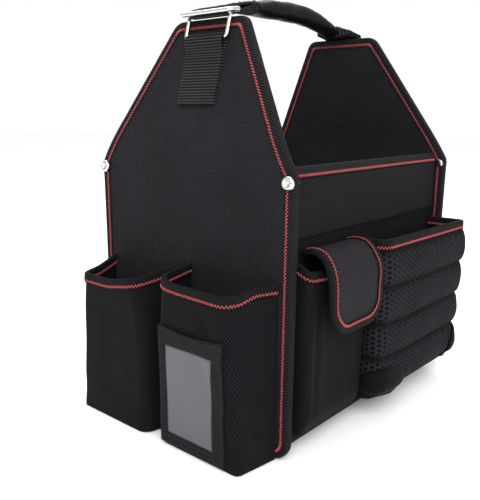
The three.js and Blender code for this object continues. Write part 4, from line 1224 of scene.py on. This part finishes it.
def makeTab(label, end):
    # webbing up the panel, over the link ring's bar and down outside, with a row of stitches at both ends
    f = strapForm
    turn = f["linkWire"] + 0.6 + f["thick"] / 2
    back = 0.3 + f["thick"] / 2
    front = back + f["thick"] + 0.3
    bar = f["linkBar"] - end["drop"]
    low = f["tabLow"] - end["drop"]
    corners = [
        (back, low), (back, bar + turn), (back + 2 * turn, bar + turn), (back + 2 * turn, bar - turn),
        (front, bar - 4 * turn), (front, low),
    ]
    line = roundPath(corners, [turn] * 4, 8)
    outer = panelForm["middle"] + panelForm["core"] / 2
    place = lambda out, z, across: joined(end["side"] * (outer + out - leanAt(z)), end["line"] + across, z)
    putPiece("strap_tab_webbing_" + label, webbing(line, place, 0.55), "webbing", ["strap_tab_" + label])
    runs = []
    for z in (low + 2.2, bar - 4 * turn - 1.0):
        y = np.linspace(-f["width"] / 2 + 1.5, f["width"] / 2 - 1.5, 30)
        here = place(np.full(30, front + f["thick"] / 2 + 0.15), np.full(30, z), y)
        normal = np.broadcast_to([end["side"] * 1.0, 0, 0.2], here.shape)
        runs += dashes(here, normal)
    putThreads("black_stitch_tab_" + label, runs, 0.28, "black")


def barsOf(end):
    # where the link ring's upper bar and the strap ring's bar lie: each a length and an angle further on
    f = strapForm
    low = f["linkBar"] - end["drop"]
    tabBar = 0.3 + f["thick"] / 2 + f["linkWire"] + 0.6 + f["thick"] / 2
    outer = panelForm["middle"] + panelForm["core"] / 2
    link = (
        float(outer + tabBar - leanAt(low)) - f["linkHeight"] * math.sin(end["link"]),
        low + f["linkHeight"] * math.cos(end["link"]),
    )
    apart = f["linkWire"] + f["strapWire"] + f["barGap"] / 2
    return link, (link[0] - apart * math.cos(end["loop"]), link[1] + apart * math.sin(end["loop"]))


def wireRing(width, height, wire, place):
    # round wire along a rounded rectangle: point + inward*r*cos(a), lifted by r*sin(a)
    corners = [(0, 0), (width / 2, 0), (width / 2, height), (-width / 2, height), (-width / 2, 0), (0, 0)]
    line = evenly(roundPath(corners, [strapForm["corner"]] * 4, 8)[:-1], 150, closed=True)[0]
    inward = leftNormals(line, True)
    angle = np.linspace(0, 2 * math.pi, 16, endpoint=False)[None]
    flat = line[:, None] + inward[:, None] * (wire * np.cos(angle))[..., None]
    rings = place(flat[..., 0], flat[..., 1], np.broadcast_to(wire * np.sin(angle), flat.shape[:2]))
    return tube(rings, flat, True)


def makeRings(label, end):
    # each ring's plane hangs from its bar: bar + (height - up) along the angle, and out square to it
    f = strapForm
    link, strap = barsOf(end)

    def ringPlace(bar, angle, height):
        return lambda across, up, out: joined(
            end["side"] * (bar[0] + (height - up) * math.cos(angle) + out * math.sin(angle)),
            end["line"] + across,
            bar[1] - (height - up) * math.sin(angle) + out * math.cos(angle),
        )

    parts = (
        (
            "link_ring_", f["width"] + 0.6 + 2 * f["linkWire"], f["linkHeight"], f["linkWire"],
            ringPlace(link, math.pi / 2 - end["link"], f["linkHeight"]),
        ),
        (
            "strap_ring_", f["strapInner"] + 2 * f["strapWire"], f["strapDepth"], f["strapWire"],
            ringPlace(strap, end["strap"], f["strapDepth"]),
        ),
    )
    for name, width, height, wire, place in parts:
        putPiece(name + "wire_" + label, wireRing(width, height, wire, place), "nickel", [name + label])


def gripMiddle(x):  # a parabola, deeper towards the far end: top - tall/2 - sag share^2
    f = gripForm
    share = (2 * x - f["from"] - f["to"]) / (f["to"] - f["from"])
    return f["top"] - f["tall"] / 2 - np.where(share < 0, f["sag"], f["sagFar"]) * share**2


def oval(x, middle, z, wide, tall, power, around=48):
    # a rounded ring across X: half width |cos|^power, half height |sin|^power
    angle = (np.arange(around) + 0.5) * 2 * math.pi / around
    bulge = lambda v: np.sign(v) * np.abs(v) ** power
    y = middle + wide / 2 * bulge(np.cos(angle))
    return joined(np.broadcast_to(x, y.shape), y, z + tall / 2 * bulge(np.sin(angle)))


def flareRings(end, out, z):
    # flat at its wide end, then gathered into the sleeve's oval, with pleats 1 + 0.07 sin(9a) + 0.05 sin(17a)
    f, g = strapForm, gripForm
    t = np.linspace(-0.12, 1.0, 46)
    knots = [-0.12, 0.25, 0.6, 1]
    wide = g["endWide"] + (f["width"] - 0.3 - g["endWide"]) * np.interp(t, knots, [1, 0.85, 0.4, 0])
    tall = 2 * f["thick"] + (g["endTall"] - 1 - 2 * f["thick"]) * np.interp(t, knots, [0, 0.25, 0.75, 1])
    power = np.interp(t, knots, [0.35, 0.45, 0.6, 0.8])
    angle = (np.arange(72) + 0.5) * 2 * math.pi / 72
    rings = []
    for share, w, h, b in zip(t, wide, tall, power):
        middle = z + (gripMiddle(end["mouth"]) - z) * max(share, 0)
        ring = oval(end["side"] * (out - 0.3 - end["flare"] * share), end["line"], middle, w, h, b, 72)
        pleat = 1 + 0.07 * np.sin(angle * 9 + 1.5) * smooth(share, 0.1, 0.5)
        pleat = pleat + 0.05 * np.sin(angle * 17 + share * 6)
        centre = np.array([ring[0, 0], end["line"], middle])
        rings.append(centre + (ring - centre) * np.stack([np.ones(72), pleat, pleat], axis=1))
    return np.array(rings), t


def makeHandleWebbing(label, end):
    # one strip from the sleeve round both bars and back, with the panel's top under it at the far end
    f, g = strapForm, gripForm
    link, strap = barsOf(end)
    turn = f["strapWire"] + 0.3 + f["thick"] / 2
    out = end["side"] * end["mouth"] + end["flare"] + 0.3
    z = gripMiddle(end["mouth"]) - g["sag"] / 4
    layer = (f["thick"] + 0.3) / 2
    run = (math.cos(end["loop"]), -math.sin(end["loop"]))
    near = lambda bar, ahead, up: (
        bar[0] + run[0] * ahead - run[1] * up, bar[1] + run[1] * ahead + run[0] * up,
    )
    overTop = panelForm["top"] + 0.6 + f["thick"] + layer / 2
    ahead = (strap[1] - overTop) / -run[1]
    over = lambda way: [
        (strap[0] - run[0] * abs(ahead) + way * layer * math.tan(end["loop"] / 2), overTop + way * layer)
    ] if strap[1] < panelForm["top"] else []
    corners = [
        (out, z + layer), *over(1), near(strap, -turn * 0.6, turn), near(link, turn, turn),
        near(link, turn, -turn), near(strap, -turn * 0.6, -turn), *over(-1), (out, z - layer),
    ]
    line = roundPath(corners, [turn] * (len(corners) - 2), 8)
    place = lambda outward, height, across: joined(end["side"] * outward, end["line"] + across, height)
    rings, t = flareRings(end, out, z)
    flat = joined(t[:, None] * end["flare"], rings[..., 1] + rings[..., 2])
    parts = [webbing(line, place, 0.2), tube(rings, flat, False)]
    putPiece("handle_strap_" + label, parts, "webbing", ["handle_webbing_" + label])
    # rows of close stitches across the gathered part
    runs = []
    for share in (0.02, 0.2, 0.42, 0.66, 0.86):
        at = np.interp(share, t, np.arange(len(t)))
        ring = rings[int(at)][3:34]
        normal = unit(ring - np.array([ring[0, 0], end["line"], ring[:, 2].min()]))
        shift = np.where(np.arange(31) % 2, 0.9, -0.9)[:, None] * np.array([1.0, 0, 0])
        runs.append((ring + shift + normal * 0.25, normal))
    putThreads("black_stitch_handle_" + label, runs, 0.42, "black")


def makeGrip():
    # ovals carried along X, with the sleeve's soft dents and its two rolled mouths
    g = gripForm
    along = np.concatenate([[0, 0, 0], np.linspace(0, 1, 96), [1, 1, 1]])
    shrink = np.concatenate([[0.55, 0.86, 0.97], np.ones(96), [0.97, 0.86, 0.55]])
    x = g["from"] + (g["to"] - g["from"]) * along + np.concatenate(
        [[0.5, 0.1, 0.0], np.zeros(96), [0.0, -0.1, -0.5]]
    )
    share = np.mean(
        [np.interp(along + b, g["along"], g["share"]) for b in (-0.04, -0.02, 0, 0.02, 0.04)], axis=0,
    )
    middle = ends["near"]["line"] + (ends["far"]["line"] - ends["near"]["line"]) * along
    rings = np.array([
        oval(
            at, y, gripMiddle(at), (g["endWide"] + (g["wide"] - g["endWide"]) * s) * k,
            (g["endTall"] + (g["tall"] - g["endTall"]) * s) * k, 0.95,
        )
        for at, y, s, k in zip(x, middle, share, shrink)
    ])
    centre = np.stack([x, middle, gripMiddle(x)], axis=1)[:, None]
    out = unit(rings - centre)
    dents = 0.35 * cloudy(rings, 26, 5) + 0.16 * cloudy(rings, 9, 6)
    rings = rings + out * np.minimum(dents, 0.3)[..., None] * (shrink[:, None, None] == 1)
    flat = joined(np.broadcast_to(x[:, None], rings.shape[:2]), rings[..., 1] + rings[..., 2])
    putPiece("grip_sleeve_cover", tube(rings, flat, False), "grip", ["grip_sleeve"])


for label, end in ends.items():
    makeTab(label, end)
    makeRings(label, end)
    makeHandleWebbing(label, end)
makeGrip()
print("webbing, rings and handle made")


# Floor, light and camera.
def makeFloor():  # a level square under the bag
    mesh = bpy.data.meshes.new("floor")
    mesh.from_pydata([(-6, -6, 0), (6, -6, 0), (6, 6, 0), (-6, 6, 0)], [], [(0, 1, 2, 3)])
    mesh.materials.append(
        plainMaterial(
            "paleFloor", lightLook["floorColour"], 0.75, grain=30.0, depth=0.0, spread=0.02,
            dark=(0.93, 0.93, 0.93),
        )
    )
    floor = bpy.data.objects.new("floor", mesh)
    bpy.context.scene.collection.objects.link(floor)


def makeLight(name, own):  # a square lamp that faces the middle of the bag
    lamp = bpy.data.lights.new(name, "AREA")
    lamp.size, lamp.energy, lamp.color = own["size"], own["power"], own["colour"]
    light = bpy.data.objects.new(name, lamp)
    back = unit(np.array(own["place"]) - np.array([0, 0, 0.16]))
    right = unit(np.cross([0, 0, 1], back))
    turned = np.stack([right, np.cross(back, right), back], axis=1)
    light.matrix_world = mathutils.Matrix([[*turned[k], own["place"][k]] for k in range(3)] + [[0, 0, 0, 1]])
    bpy.context.scene.collection.objects.link(light)


def makeCamera(own):
    # back = (sin a cos e, -cos a cos e, sin e), and right and up are rolled about it
    a, e, r = (math.radians(own[key]) for key in ("azimuth", "elevation", "roll"))
    back = np.array([math.sin(a) * math.cos(e), -math.cos(a) * math.cos(e), math.sin(e)])
    right = unit(np.cross(-back, [0, 0, 1]))
    up = np.cross(right, -back)
    columns = (math.cos(r) * right + math.sin(r) * up, -math.sin(r) * right + math.cos(r) * up, back)
    place = np.array(own["target"]) + back * own["distance"]
    lens = bpy.data.cameras.new("camera")
    lens.lens, lens.sensor_width, lens.clip_start = own["lens"], 36.0, 0.01
    camera = bpy.data.objects.new("camera", lens)
    camera.matrix_world = mathutils.Matrix(
        [[*(column[k] for column in columns), place[k]] for k in range(3)] + [[0, 0, 0, 1]]
    )
    bpy.context.scene.collection.objects.link(camera)
    bpy.context.scene.camera = camera


def makeWorld():  # even white light from all sides
    world = bpy.data.worlds.new("studio")
    world.use_nodes = True
    world.node_tree.nodes["Background"].inputs["Color"].default_value = (1, 1, 1, 1)
    world.node_tree.nodes["Background"].inputs["Strength"].default_value = lightLook["world"]
    bpy.context.scene.world = world
    bpy.context.scene.view_settings.view_transform = "Standard"


makeFloor()
for name in ("key", "fill", "top"):
    makeLight(name, lightLook[name])
makeWorld()
makeCamera(cameraLook)
print("floor, light and camera made")
